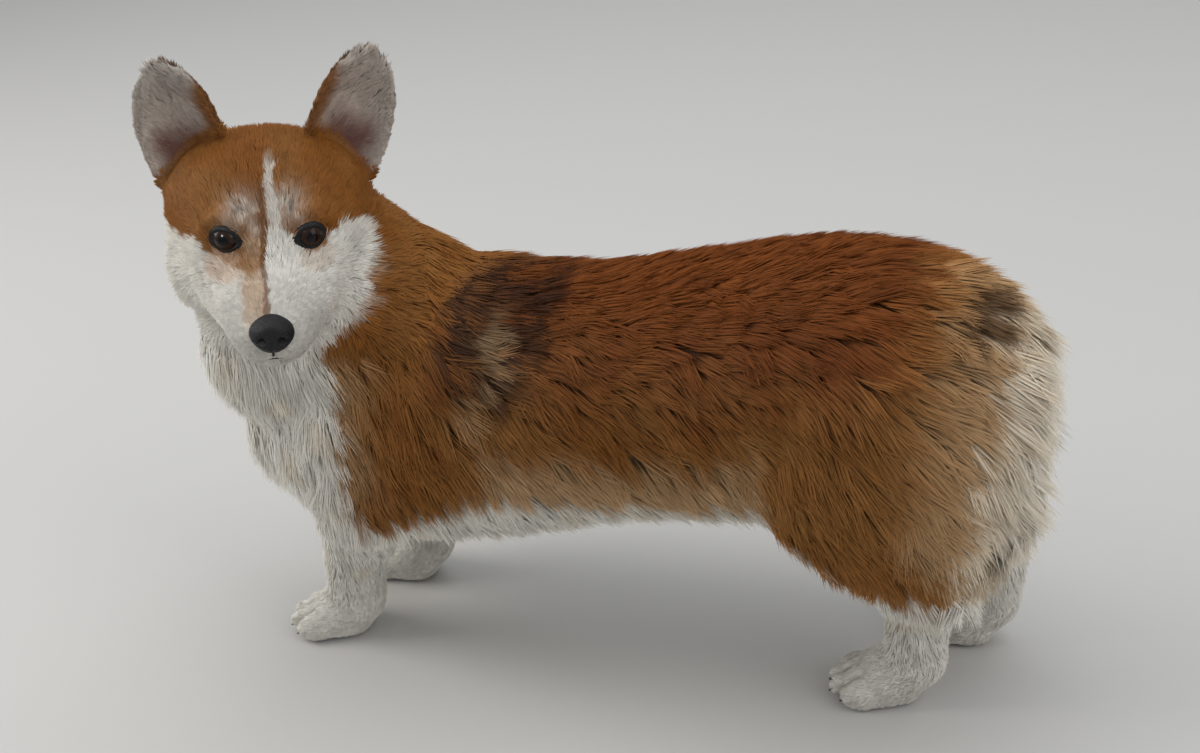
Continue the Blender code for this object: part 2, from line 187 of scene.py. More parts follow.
def ripple(points, wavelength, seed):
    """Smooth noise from about -1 to 1 whose features are about that far apart."""
    rng = np.random.default_rng(seed)
    total = np.zeros(len(points))
    for _ in range(WAVES):
        direction = rng.normal(size=3)
        direction *= 2 * math.pi / (wavelength * np.linalg.norm(direction) * rng.uniform(0.7, 1.5))
        total += np.sin(points @ direction + rng.uniform(0, 2 * math.pi))
    return total / WAVE_SUM


def stops(value, *pairs):
    """The line through (at, height) pairs."""
    return np.interp(value, [p[0] for p in pairs], [p[1] for p in pairs])


print("ripple of the origin", round(float(ripple(np.zeros((1, 3)), 0.01, 1)[0]), 3))

# %% [markdown]
# The coat is thin on the muzzle and paws and deep on the chest, the thighs and the rump. The skin lies
# that far inside the solids, which were drawn out to the tips of the hair.

# %% How deep the coat is


def head_share(points):
    """1 on the head, 0 on the body, with a soft border through the neck."""
    x, y, z = to_head(points).T
    return ramp(np.abs(x), 0.092, 0.078) * ramp(y, 0.058, 0.038) * ramp(z, -0.082, -0.066)


def leg_share(points):
    """1 below the elbow and the hock, 0 on the body."""
    fore = ramp(points[:, 2], 0.140, 0.108) * ramp(points[:, 1], 0.0, -0.02)
    hind = ramp(points[:, 2], 0.118, 0.086) * ramp(points[:, 1], 0.0, 0.02)
    return np.maximum(fore, hind)


def head_coat_depth(points):
    x, y, z = to_head(points).T
    face = mix(0.0024, 0.0013, ramp(y, -0.070, -0.085))
    crown = mix(face, 0.0032, ramp(y, -0.04, 0.0))
    ruff = ramp(np.abs(x), 0.040, 0.060) * ramp(z, 0.004, -0.02)
    under = ramp(z, -0.050, -0.062) * ramp(y, -0.085, -0.06)
    return mix(crown, 0.0062, np.maximum(ruff, under))


def body_coat_depth(points):
    _, y, z = points.T
    body = mix(0.0105, 0.0085, ramp(z, 0.255, 0.285))
    body = mix(body, 0.012, ramp(y, -0.19, -0.24))
    body = mix(body, 0.017, ramp(y, 0.205, 0.255) * ramp(z, 0.29, 0.25))
    leg = mix(0.0045, 0.0015, ramp(z, 0.045, 0.03))
    leg = mix(leg, 0.0, ramp(z, 0.005, 0.002))
    return mix(body, leg, leg_share(points))


def ear_root_share(points):
    """1 in an egg round the root of either ear."""
    x, y, z = to_head(points).T
    off = np.array([(np.abs(x) - 0.046) / 0.026, (y - 0.018) / 0.018, (z - 0.030) / 0.030])
    return ramp((off**2).sum(0), 1.6, 0.7)


def coat_depth(points):
    depth = mix(body_coat_depth(points), head_coat_depth(points), head_share(points))
    return depth * (1 - ear_root_share(points))


probe = np.array([[0.05, 0.15, 0.2], [0.0, 0.27, 0.2], [0.0, -0.2, 0.02]])
print("depth on thigh, rump and paw in mm:", (coat_depth(probe) * 1000).round(1))

# %% [markdown]
# The skin starts as copies of the flesh solids, joined and swollen a hair's width so that they run
# into each other, then wrapped in one closed surface by a voxel remesh. It is drawn inwards in four
# small passes, each followed by a smoothing, because one big step would fold it at the elbows.

# %% Wrap the flesh in one surface
EARS = ["ear_left", "ear_right"]
FLESH = sorted(n for n in nodes if not n.startswith(("claw", "eye", "nose")) and n not in EARS)
FILLING = ["eye_left", "eye_right", "nose"]
HAIR_WIDTH = 0.0006
PASSES = 4
SKIN_NET = 0.003


def select_only(*objects):
    bpy.ops.object.select_all(action="DESELECT")
    for item in objects:
        item.select_set(True)
    bpy.context.view_layer.objects.active = objects[0]


def copies_of(names, title):
    made = []
    for name in names:
        copy = bpy.data.objects.new(title + "_" + name, nodes[name].data.copy())
        bpy.context.scene.collection.objects.link(copy)
        copy.data.materials.clear()
        made.append(copy)
    select_only(*made)
    bpy.ops.object.join()
    joined = bpy.context.object
    joined.name = title
    bpy.ops.object.mode_set(mode="EDIT")
    bpy.ops.mesh.select_all(action="SELECT")
    bpy.ops.mesh.remove_doubles(threshold=0.00002)
    bpy.ops.object.mode_set(mode="OBJECT")
    for attribute in [a.name for a in joined.data.attributes if a.name.startswith("custom_normal")]:
        joined.data.attributes.remove(joined.data.attributes[attribute])
    return joined


def apply_modifier(target, kind, **settings):
    select_only(target)
    modifier = target.modifiers.new(kind.lower(), kind)
    for key, value in settings.items():
        setattr(modifier, key, value)
    bpy.ops.object.modifier_apply(modifier=modifier.name)


def remesh(target, voxel):
    apply_modifier(target, "REMESH", mode="VOXEL", voxel_size=voxel, use_smooth_shade=True)


def read(items, key, width, kind=np.float32):
    """One property of many items, a row for each."""
    flat = np.empty(len(items) * width, kind)
    items.foreach_get(key, flat)
    return flat.reshape(-1, width)


def vertices_of(mesh):
    return read(mesh.vertices, "co", 3).astype(float)


def normals_of(mesh):
    return read(mesh.vertex_normals, "vector", 3).astype(float)


def place_vertices(mesh, points):
    mesh.vertices.foreach_set("co", np.asarray(points, np.float32).ravel())
    mesh.update()


skin = copies_of(FLESH + FILLING, "skin")
apply_modifier(skin, "DISPLACE", strength=HAIR_WIDTH, mid_level=0.0)
remesh(skin, SKIN_NET)
apply_modifier(skin, "SMOOTH", factor=0.5, iterations=2)
for _ in range(PASSES):
    points = vertices_of(skin.data)
    place_vertices(skin.data, points - normals_of(skin.data) * coat_depth(points)[:, None] / PASSES)
    remesh(skin, SKIN_NET)
    apply_modifier(skin, "SMOOTH", factor=0.5, iterations=1)
print("wrapped skin:", len(skin.data.vertices), "points")

# %% [markdown]
# The ears are thin, so they are wrapped on their own with a finer net and then run into the skull. Each
# toe gets back its rounded knuckle, an egg that lies behind its claw, because the first wrap smoothed
# the toes away. One last remesh makes a single surface of them all.

# %% Add the ears and the toes
EAR_COAT = 0.0006
TOE_LONG = 0.0125
TOE_WIDE = 0.0064
TOE_HIGH = 0.0088
TOE_BACK = 0.0110
TOE_CLEARANCE = 0.0008
TOE_PITCH = math.radians(-6)
EAR_NET = 0.0013
FINAL_NET = 0.0025
PAW_TURN = {"forepaw_left": 12, "forepaw_right": -10, "hindpaw_left": 10, "hindpaw_right": -8}

ears = copies_of(EARS, "ears")
remesh(ears, EAR_NET)
apply_modifier(ears, "SMOOTH", factor=0.5, iterations=8)
points = vertices_of(ears.data)
place_vertices(ears.data, points - normals_of(ears.data) * EAR_COAT)
toes = []
for paw, degrees in PAW_TURN.items():
    turned = math.radians(degrees)
    back = Vector((-math.sin(turned), math.cos(turned), 0))
    for toe in (1, 2, 3, 4):
        claw = centre(f"claw_{paw}_{toe}")
        middle = claw + back * TOE_BACK
        middle.z = TOE_HIGH + TOE_CLEARANCE
        bpy.ops.mesh.primitive_uv_sphere_add(segments=24, ring_count=16, radius=1, location=middle)
        egg = bpy.context.object
        egg.scale = (TOE_WIDE, TOE_LONG, TOE_HIGH)
        egg.rotation_euler = (TOE_PITCH, 0, turned)
        toes.append(egg)
select_only(skin, ears, *toes)
bpy.ops.object.join()
remesh(skin, FINAL_NET)
apply_modifier(skin, "SMOOTH", factor=0.5, iterations=2)
print("skin with ears and toes:", len(skin.data.vertices), "points,", len(skin.data.polygons), "faces")

# %% [markdown]
# The eyes sit in sockets. Round each eye the skin is drawn in behind the eyeball inside the opening
# and meets the lid at its edge. The opening is an almond, so distance is measured in almond widths.

# %% Sockets for the eyes
LID_WIDTH = 0.0089
LID_HEIGHT = 0.0072
LID_TUBE = 0.0015
LID_PROUD = 0.0002
SOCKET_DEPTH = 0.0035
OPEN_TO = 0.9
RIM_AT = 1.12
SOCKET_REACH = 2.1
EYE_TURN = math.radians(16)
EYE_LIFT = math.radians(4)
EYE_TILT = math.radians(9)


def eye_frame(side):
    """Origin and rows (across, up, out) of an eye, in the row frame. side is 1 for the dog's left."""
    out = np.array([side * math.sin(EYE_TURN), -math.cos(EYE_TURN), math.sin(EYE_LIFT)])
    out /= np.linalg.norm(out)
    up = np.array([0.0, 0.0, 1.0])
    up -= out * (up @ out)
    up /= np.linalg.norm(up)
    tilt = side * EYE_TILT
    across = np.cross(up, out)
    tilted_up = up * math.cos(tilt) - across * math.sin(tilt)
    tilted_across = across * math.cos(tilt) + up * math.sin(tilt)
    rows = np.array([tilted_across, tilted_up, out]) @ HEAD
    return np.array(centre("eye_left" if side > 0 else "eye_right")), rows


def lid_point(angle, grow=0.0):
    """Where the lid's centre line runs, in an eye's own frame."""
    across = (LID_WIDTH + grow) * np.cos(angle)
    up = (LID_HEIGHT + grow) * np.sin(angle)
    up = up * (1 - 0.16 * np.cos(angle) ** 4)
    out = np.sqrt(np.maximum(EYE_RADIUS**2 - across**2 - up**2, 1e-7))
    return across, up, out


points = vertices_of(skin.data)
for side in (1, -1):
    origin, rows = eye_frame(side)
    local = (points - origin) @ rows.T
    reach = np.hypot(local[:, 0] / LID_WIDTH, local[:, 1] / LID_HEIGHT)
    angle = np.arctan2(local[:, 1] / LID_HEIGHT, local[:, 0] / LID_WIDTH)
    lid_out = lid_point(angle)[2]
    near = (local[:, 2] > -0.006) & (reach < SOCKET_REACH)
    goal = mix(lid_out - SOCKET_DEPTH, lid_out + LID_PROUD, ramp(reach, OPEN_TO, RIM_AT))
    moved = mix(goal, local[:, 2], ramp(reach, RIM_AT, SOCKET_REACH))
    local[:, 2] = np.where(near, moved, local[:, 2])
    points = np.where(near[:, None], local @ rows + origin, points)
place_vertices(skin.data, points)
print("eye openings are", round(2000 * LID_WIDTH, 1), "by", round(2000 * LID_HEIGHT, 1), "mm")

# %% [markdown]
# A fox-like face has soft brows over the inner corners of the eyes, a shallow stop between them, a
# groove down the front of the upper lip and a crease where the lips meet. They are pressed into the
# skin as by a modeller's thumb, each with a centre, a reach and a height in the head's frame. The
# furrows between the toes are pressed in the same way, along lines between the claws.

# %% Thumb marks on the face
MARKS = [
    ((0.0205, -0.050, 0.0150), (0.0085, 0.012, 0.0050), 0.0013),
    ((-0.0205, -0.050, 0.0150), (0.0085, 0.012, 0.0050), 0.0013),
    ((0.0, -0.050, 0.0060), (0.0055, 0.014, 0.0170), -0.0012),
    ((0.0150, -0.092, -0.0480), (0.0090, 0.018, 0.0080), 0.0012),
    ((-0.0150, -0.092, -0.0480), (0.0090, 0.018, 0.0080), 0.0012),
    ((0.0, -0.114, -0.0490), (0.0016, 0.014, 0.0070), -0.0014),
    ((0.0, -0.120, -0.0370), (0.0090, 0.014, 0.0080), -0.0040),
    ((0.0, -0.100, -0.0620), (0.0110, 0.016, 0.0080), 0.0026),
]
TOE_FURROW = 0.0017
FURROW_DEPTH = 0.0024
LIP_CREASE = 0.0016
LIP_MIDDLE = -0.0508


def toe_furrows(points):
    """1 along the three furrows between the toes of each paw."""
    share = np.zeros(len(points))
    for paw, degrees in PAW_TURN.items():
        turned = math.radians(degrees)
        across = np.array([math.cos(turned), math.sin(turned), 0.0])
        back = np.array([-math.sin(turned), math.cos(turned), 0.0])
        places = [np.array(centre(f"claw_{paw}_{toe}")) for toe in (1, 2, 3, 4)]
        for first, second in zip(places[:-1], places[1:]):
            off = points - (first + second) / 2
            furrow = np.exp(-(((off @ across) / TOE_FURROW) ** 2))
            furrow *= ramp(off @ back, -0.009, -0.003) * ramp(off @ back, 0.026, 0.012)
            share = np.maximum(share, furrow)
    return share * ramp(points[:, 2], 0.034, 0.027)


def lip_height(x, y):
    """Height of the line where the lips meet."""
    aside = np.abs(x)
    return LIP_MIDDLE - 0.0022 * ramp(aside, 0.002, 0.010) + 0.0030 * ramp(y, -0.100, -0.066)


points = vertices_of(skin.data)
normals = normals_of(skin.data)
at = to_head(points)
push = np.zeros(len(points))
for middle, reach, height in MARKS:
    off = (at - np.array(middle)) / np.array(reach)
    push += height * np.exp(-(off**2).sum(1))
crease = np.exp(-(((at[:, 2] - lip_height(at[:, 0], at[:, 1])) / LIP_CREASE) ** 2))
crease *= ramp(at[:, 1], -0.062, -0.072) * head_share(points)
push -= LIP_CREASE * crease
push -= FURROW_DEPTH * toe_furrows(points) * ramp(normals[:, 2], -0.5, -0.1)
place_vertices(skin.data, points + normals * push[:, None])
print("thumb marks:", len(MARKS))

# %% [markdown]
# The colours of this dog: a white blaze, brows, cheeks, muzzle, throat, bib, belly and legs, and a
# fawn coat that goes from orange on the head to red-brown on the back and gold on the thighs, with
# dark tips over the withers. Each patch is a small rule about place, so the skin and every tuft that
# grows from it can ask the same rules and carry the same markings.

# %% Palette
WHITE = np.array([0.80, 0.77, 0.70])
CREAM = np.array([0.76, 0.65, 0.50])
FAWN = np.array([0.265, 0.098, 0.019])
RED = np.array([0.180, 0.046, 0.007])
GOLD = np.array([0.33, 0.150, 0.042])
BUFF = np.array([0.52, 0.34, 0.18])
PEACH = np.array([0.60, 0.41, 0.28])
SABLE = np.array([0.042, 0.015, 0.006])
DUSK = np.array([0.14, 0.10, 0.08])
EAR_HAIR = np.array([0.52, 0.44, 0.38])
# The pink skin inside the ear, painted dark with the shade of the ear's hollow.
SHADED_EAR_SKIN = np.array([0.17, 0.060, 0.048])
PAD = np.array([0.05, 0.04, 0.04])
print("the coat runs from", RED, "to", WHITE)

# %% [markdown]
# The face is white in the middle and below, and fawn above and at the sides. Each pair of numbers below
# is a place and the height, the half width or the reach of a marking there, in the head's frame. Soft
# noise moves the borders a little, as hair does.

# %% Markings of the head


def blob(points, middle, reach):
    """1 at a place, falling to 0 at about its reach."""
    off = (points - np.array(middle)) / np.array(reach)
    return ramp((off**2).sum(1), 1.3, 0.5)


def haze(points, middle, reach):
    """1 at a place, fading slowly, as where hairs of two colours mingle."""
    off = (points - np.array(middle)) / np.array(reach)
    return np.exp(-(off**2).sum(1))


BLAZE_MIDDLE = ((-0.03, 0.0065), (0.0, 0.0060), (0.02, 0.0040), (0.052, 0.0025))
BLAZE_HALF = (
    (-0.03, 0.0080), (-0.01, 0.0060), (0.0, 0.0048), (0.012, 0.0030),
    (0.024, 0.0025), (0.040, 0.0030), (0.047, 0.0024),
)
CHEEK_TOP = (
    (-0.060, -0.008), (-0.051, -0.005), (-0.036, -0.003), (-0.031, -0.012), (-0.024, -0.014),
    (-0.016, -0.015), (-0.004, -0.016), (-0.0015, -0.014), (0.0, 0.002), (0.014, 0.002),
    (0.018, -0.010), (0.030, -0.009), (0.035, -0.002), (0.046, 0.000), (0.056, -0.005),
    (0.065, -0.018), (0.080, -0.030),
)
CHEEK_REACH = (
    (-0.075, -0.056), (-0.060, -0.055), (-0.049, -0.050), (-0.039, -0.043),
    (-0.027, -0.032), (-0.015, -0.020), (0.0, -0.012),
)
THROAT_REACH = ((-0.0825, 0.014), (-0.068, 0.027), (-0.059, 0.041), (-0.049, 0.056), (-0.04, 0.2))


def brow_share(points, at):
    """The pale hairs over the inner corners of the eyes and beside the bridge."""
    brow = np.maximum(
        haze(at, (0.0118, -0.048, 0.0130), (0.0085, 0.03, 0.0088)),
        haze(at, (-0.0128, -0.048, 0.0120), (0.0100, 0.03, 0.0075)),
    )
    brow = np.maximum(brow, 0.8 * haze(at, (-0.0075, -0.052, -0.001), (0.0055, 0.03, 0.0120)))
    brow = brow * (0.66 + 0.26 * ripple(points * np.array([1, 1, 0.4]), 0.004, 14))
    return np.clip(brow, 0, 1) * ramp(at[:, 1], -0.025, -0.035)


def white_of_face(x, y, z):
    """Cheeks, muzzle and throat."""
    cheek_top = stops(x, *CHEEK_TOP)
    white = ramp(z, cheek_top + 0.0016, cheek_top - 0.0016)
    reach = stops(z, *CHEEK_REACH) + 0.060 * ramp(x, 0.0, -0.02)
    aside = ramp(np.abs(x), 0.030, 0.045)
    white = white * mix(1.0, ramp(y, reach + 0.004, reach - 0.004), aside)
    throat = stops(z, *THROAT_REACH)
    white = white * ramp(x, throat + 0.004, throat - 0.003)
    return np.maximum(white, ramp(x, -0.018, -0.034) * ramp(z, -0.026, -0.038))


def head_colour(points):
    at = to_head(points)
    wobble = ripple(points, 0.011, 11) * 0.0016
    calm = ramp(np.abs(at[:, 0]), 0.006, 0.016)
    x = at[:, 0] + wobble * (0.35 + 0.65 * calm)
    y = at[:, 1]
    z = at[:, 2] + ripple(points, 0.013, 12) * 0.0018
    half = stops(z, *BLAZE_HALF)
    blaze = ramp(np.abs(x - stops(z, *BLAZE_MIDDLE)), half + 0.0012, half - 0.0008)
    blaze = blaze * ramp(z, 0.0385, 0.0325) * ramp(y, 0.0, -0.012)
    colour = layered(
        FAWN,
        (GOLD, 0.45 * ramp(ripple(points, 0.045, 13), -0.5, 1.0)),
        (RED, 0.30 * ramp(np.abs(x), 0.03, 0.0) * ramp(z, 0.015, 0.045)),
        (0.85 * WHITE + 0.15 * BUFF, brow_share(points, at)),
        (WHITE, np.maximum(white_of_face(x, y, z), 0.78 * blaze)),
    )
    # The front of the muzzle is painted about a quarter darker: painted shade.
    muzzle = ramp(y, -0.066, -0.092) * ramp(z, 0.0, -0.015)
    under_eye = blob(at, (-0.0245, -0.055, -0.0155), (0.011, 0.03, 0.009))
    under_eye = under_eye + 0.55 * blob(at, (0.0260, -0.055, -0.0140), (0.011, 0.03, 0.007))
    strip = ramp(x, -0.018, -0.012) * ramp(x, -0.0015, -0.0035) * ramp(y, -0.045, -0.055)
    strip = strip * ramp(z, -0.040, -0.024) * ramp(z, 0.006, -0.006)
    line = ramp(np.abs(x + 0.0022), 0.0022, 0.0008) * ramp(y, -0.030, -0.045)
    line = line * ramp(z, -0.038, -0.026) * ramp(z, 0.046, 0.012)
    spots = haze(at, (0.0148, -0.05, 0.0118), (0.0017, 0.03, 0.0040))
    spots = spots + haze(at, (-0.0155, -0.05, 0.0122), (0.0046, 0.03, 0.0015))
    return layered(
        colour * (1 - 0.26 * muzzle)[:, None],
        (PEACH, 0.62 * np.clip(under_eye, 0, 1)),
        (0.6 * BUFF + 0.4 * FAWN, 0.62 * strip),
        (0.5 * FAWN + 0.5 * SABLE, 0.72 * line),
        (DUSK, 0.80 * np.clip(spots, 0, 1)),
    )


print("cheek", head_colour(from_head([[0.04, -0.05, -0.02]]))[0].round(2))

# %% [markdown]
# The body is fawn above a wavy line along the belly and white below it. The first pairs below are that
# line. The next give where the pale hair of the thighs starts at each height, and the last where a pale
# streak runs behind the shoulder.

# %% Markings of the body
UNDERLINE = (
    (-0.175, 0.141), (-0.147, 0.140), (-0.129, 0.148), (-0.108, 0.157), (-0.084, 0.172),
    (-0.040, 0.168), (0.013, 0.167), (0.064, 0.168), (0.090, 0.176), (0.110, 0.165),
    (0.129, 0.148), (0.156, 0.129), (0.188, 0.115), (0.215, 0.118), (0.240, 0.125),
)
PANTS_LINE = (
    (0.10, 0.222), (0.125, 0.220), (0.159, 0.218), (0.207, 0.223),
    (0.245, 0.225), (0.270, 0.228), (0.290, 0.236),
)
STREAK_LINE = ((0.200, -0.070), (0.229, -0.084), (0.242, -0.065), (0.265, -0.080))


def back_colour(points, y, z):
    """The fawn of the whole body, with the red back, the dark withers and the pale streak."""
    back = ramp(z, 0.215, 0.275) * ramp(y, -0.12, -0.06) * ramp(y, 0.235, 0.19)
    withers = blob(points, (0.0, -0.070, 0.265), (0.07, 0.036, 0.050))
    withers = withers * ramp(ripple(points * np.array([1, 3, 1]), 0.030, 25), -1.1, 0.2)
    streak = ramp(np.abs(y - stops(z, *STREAK_LINE)), 0.013, 0.003)
    streak = streak * ramp(z, 0.185, 0.205) * ramp(z, 0.272, 0.255)
    return layered(
        FAWN,
        (GOLD, 0.5 + 0.4 * np.clip(ripple(points, 0.05, 23), -1, 1)),
        (RED, 0.92 * back),
        (RED, 0.45 * ramp(ripple(points, 0.03, 24), 0.1, 1.2)),
        (SABLE, 0.93 * withers),
        (BUFF, 0.42 * streak),
    )


def thigh_colour(colour, points, y, z):
    """Lays gold, buff and cream over the thighs, and the dark spot on the tail."""
    pants = stops(z, *PANTS_LINE)
    golden = ramp(y, pants - 0.075, pants - 0.030) * ramp(z, 0.145, 0.185)
    buff_from = pants - 0.042 * ramp(z, 0.12, 0.18) - 0.010
    return layered(
        colour,
        (1.15 * GOLD, 0.8 * golden),
        (BUFF, 0.85 * ramp(y, buff_from, pants - 0.004)),
        (CREAM, ramp(y, pants - 0.006, pants + 0.008)),
        (WHITE, 0.65 * ramp(y, pants + 0.010, pants + 0.034)),
        (SABLE, 0.74 * blob(points, (-0.010, 0.219, 0.284), (0.020, 0.015, 0.013))),
    )


def body_colour(points):
    x = points[:, 0]
    y = points[:, 1] + ripple(points, 0.02, 21) * 0.003
    z = points[:, 2] + ripple(points, 0.022, 22) * 0.003
    golden = layered(FAWN, (GOLD, 0.75 + 0.25 * np.clip(ripple(points, 0.04, 26), -1, 1)))
    under = stops(y, *UNDERLINE)
    between = ramp(y, -0.09, -0.06) * ramp(y, 0.12, 0.09)
    colour = layered(
        back_colour(points, y, z),
        (golden, 0.75 * ramp(y, 0.10, 0.125) * ramp(z, 0.27, 0.24)),
        (BUFF, 0.92 * ramp(z, under + 0.044, under + 0.016) * between),
        (BUFF, 0.5 * blob(points, (0.085, 0.098, 0.190), (0.060, 0.013, 0.042))),
        (GOLD, 0.6 * ramp(z, under + 0.020, under) * (1 - between)),
    )
    fringe = ramp(y, -0.132, -0.160) * ramp(z, 0.31, 0.27) * ramp(z, 0.15, 0.19)
    inner = ramp(np.abs(x - MEDIAN), 0.026, 0.016) * ramp(z, 0.185, 0.165)
    bib = ramp(y, -0.162, -0.170) * ramp(z, 0.33, 0.30)
    bib = np.maximum(bib, ramp(y, -0.150, -0.158) * ramp(x, MEDIAN + 0.02, MEDIAN))
    white = np.clip(ramp(z, under + 0.005, under - 0.005) + inner + bib, 0, 1)
    cream = ramp(ripple(points, 0.03, 27), 0.5, 1.2) * ramp(z, 0.05, 0.08)
    return layered(
        thigh_colour(colour, points, y, z),
        (BUFF, 0.55 * fringe),
        (WHITE, white),
        (CREAM, 0.5 * cream * white),
    )


print("colour of the back", body_colour(np.array([[0.0, 0.1, 0.29]]))[0].round(2))

# %% [markdown]
# The inside of an ear shows pink skin low down, painted dark with the shade of the ear's hollow, pale
# grey hair above it and a fawn rim on the side toward the crown. A point of an ear belongs to the
# inside when its surface faces forward.

# %% Markings of the ears and the whole dog
EAR_BASE = {1: (0.0455, 0.020, 0.030), -1: (-0.0455, 0.020, 0.030)}
EAR_TIP = {1: (0.0715, 0.012, 0.098), -1: (-0.0593, 0.015, 0.087)}
EAR_BORDER = ((0.0, 0.055), (0.0235, 0.052), (0.045, 0.040), (0.068, 0.016), (0.09, 0.012))
EAR_HALF_WIDTH = ((-0.2, 0.024), (0.15, 0.026), (0.45, 0.0245), (0.75, 0.019), (1.0, 0.008))
NOSE_HALF = np.array([0.0130, 0.0108, 0.0114])
NOSE_MIDDLE = to_head([centre("nose")])[0] + np.array([0.0, 0.0, 0.0034])
TOE_SHADE = 0.42


def ear_share(points):
    """1 on the free part of either ear."""
    at = to_head(points)
    aside = np.abs(at[:, 0])
    border = stops(aside, *EAR_BORDER)
    return ramp(at[:, 2], border - 0.002, border + 0.004) * ramp(aside, 0.020, 0.026)


def ear_place(points):
    """How far a point is up its ear (0 base, 1 tip) and across it (-1 inner edge, 1 outer edge)."""
    at = to_head(points)
    side = np.where(at[:, 0] > 0, 1, -1)
    base = np.array([EAR_BASE[s] for s in side]).reshape(-1, 3)
    tip = np.array([EAR_TIP[s] for s in side]).reshape(-1, 3)
    line = (tip - base)[:, [0, 2]]
    length = np.linalg.norm(line, axis=1)
    off = (at - base)[:, [0, 2]]
    up = (off * line).sum(1) / length**2
    across = (off[:, 0] * line[:, 1] - off[:, 1] * line[:, 0]) / length * side
    return up, across / stops(up, *EAR_HALF_WIDTH)


def ear_inside(normals):
    """1 where an ear's surface faces forward."""
    return ramp(-(normals @ HEAD[1]), -0.05, 0.25)


def ear_colour(points, normals):
    up, across = ear_place(points)
    # Where the pink skin shows low in the ear, darkened as painted shade of the hollow.
    pink = ramp(up, 0.42, 0.10) * ramp(np.abs(across - 0.05), 0.85, 0.35)
    rim = ramp(across + 0.35 * ramp(up, 0.5, 1.0), -0.55, -0.90) * ramp(up, 0.88, 0.68)
    edge = ramp(np.abs(across), 0.72, 0.95) * ramp(across, -0.5, 0.2)
    hair = layered(
        EAR_HAIR,
        (0.85 * WHITE, 0.5 * ramp(up, 0.55, 1.0) + 0.2 * ramp(across, 0.3, 0.9)),
        (SHADED_EAR_SKIN, 0.9 * pink),
        (FAWN, 0.95 * rim),
    )
    return layered(
        0.9 * FAWN,
        (0.8 * BUFF, 0.5 * ramp(up, 0.6, 1.0)),
        (EAR_HAIR, 0.75 * np.maximum(edge, ramp(up, 0.72, 0.88))),
        (hair, ear_inside(normals)),
    )


def nose_reach(points, grow_by=1.0):
    """Under 1 inside the nose's bulk, swollen by a factor."""
    off = (to_head(points) - NOSE_MIDDLE) / (NOSE_HALF * grow_by)
    return (off**2).sum(1)


def markings(points, normals):
    """The colour of skin and hair at every place of the dog."""
    colour = layered(
        body_colour(points),
        (head_colour(points), head_share(points)),
        (ear_colour(points, normals), ear_share(points)),
        (0.3 * PAD, ramp(nose_reach(points), 1.0, 0.8)),
    )
    # The furrows between the toes are painted darker: painted shade in the creases.
    colour = colour * (1 - TOE_SHADE * toe_furrows(points))[:, None]
    pads = ramp(points[:, 2], 0.0055, 0.003) * ramp(normals[:, 2], -0.5, -0.8)
    return np.clip(layered(colour, (PAD, pads)), 0.0, 0.95)


print("forehead", markings(from_head([[0.03, -0.03, 0.03]]), -HEAD[1][None, :]).round(2))

# %% [markdown]
# Every finish is built from nodes. These helpers add a node, feed it with numbers or with other nodes,
# and make the patterns and the small relief that several finishes share.

# %% Node helpers


def add_node(tree, kind, place, **settings):
    made = tree.nodes.new(kind)
    made.location = place
    for key, value in settings.items():
        setattr(made, key, value)
    return made


def feed(tree, socket, value):
    """Sets an input to a number, or links another node's output to it."""
    if isinstance(value, (int, float)):
        socket.default_value = value
    else:
        tree.links.new(value, socket)


def calculate(tree, operation, place, *values):
    made = add_node(tree, "ShaderNodeMath", place, operation=operation)
    for socket, value in zip(made.inputs, values):
        feed(tree, socket, value)
    return made.outputs[0]


def ranged(tree, source, low, high, to_low, to_high, place):
    """Maps low..high to to_low..to_high with a soft step."""
    made = add_node(tree, "ShaderNodeMapRange", place, interpolation_type="SMOOTHSTEP")
    titles = ("Value", "From Min", "From Max", "To Min", "To Max")
    for title, value in zip(titles, (source, low, high, to_low, to_high)):
        feed(tree, made.inputs[title], value)
    return made.outputs["Result"]


def scaled(tree, colour, factor, place):
    made = add_node(tree, "ShaderNodeVectorMath", place, operation="SCALE")
    tree.links.new(colour, made.inputs[0])
    tree.links.new(factor, made.inputs["Scale"])
    return made.outputs[0]


def pattern(tree, kind, scale, place):
    """A texture in the piece's own space."""
    where = add_node(tree, "ShaderNodeTexCoord", (place[0] - 200, place[1]))
    made = add_node(tree, kind, place)
    made.inputs["Scale"].default_value = scale
    tree.links.new(where.outputs["Object"], made.inputs["Vector"])
    return made.outputs[0]


def colour_ramp(tree, source, stages, place):
    """A colour ramp through (position, colour) pairs."""
    made = add_node(tree, "ShaderNodeValToRGB", place)
    elements = made.color_ramp.elements
    elements[0].position = stages[0][0]
    elements[1].position = stages[-1][0]
    for position, _ in stages[1:-1]:
        elements.new(position)
    for element, (_, colour) in zip(elements, stages):
        element.color = (*colour, 1)
    tree.links.new(source, made.inputs[0])
    return made.outputs[0]


def roughen(tree, shader, height, strength, distance, invert=False):
    """Gives a finish small relief."""
    bump = add_node(tree, "ShaderNodeBump", (-300, -250), invert=invert)
    bump.inputs["Strength"].default_value = strength
    bump.inputs["Distance"].default_value = distance
    tree.links.new(height, bump.inputs["Height"])
    tree.links.new(bump.outputs[0], shader.inputs["Normal"])


def new_material(name, roughness, specular):
    made = bpy.data.materials.new(name)
    made.use_nodes = True
    shader = made.node_tree.nodes["Principled BSDF"]
    shader.inputs["Roughness"].default_value = roughness
    shader.inputs["Specular IOR Level"].default_value = specular
    return made, made.node_tree, shader


print("node helpers ready")

# %% [markdown]
# Hair is never one flat colour: a lock is darker at its root, where it shades itself, and lighter at
# its tip, and fine streaks run along it. This shader group does that for every tuft. It reads how far
# along its lock a point is, how far round it, and a number drawn for each lock.

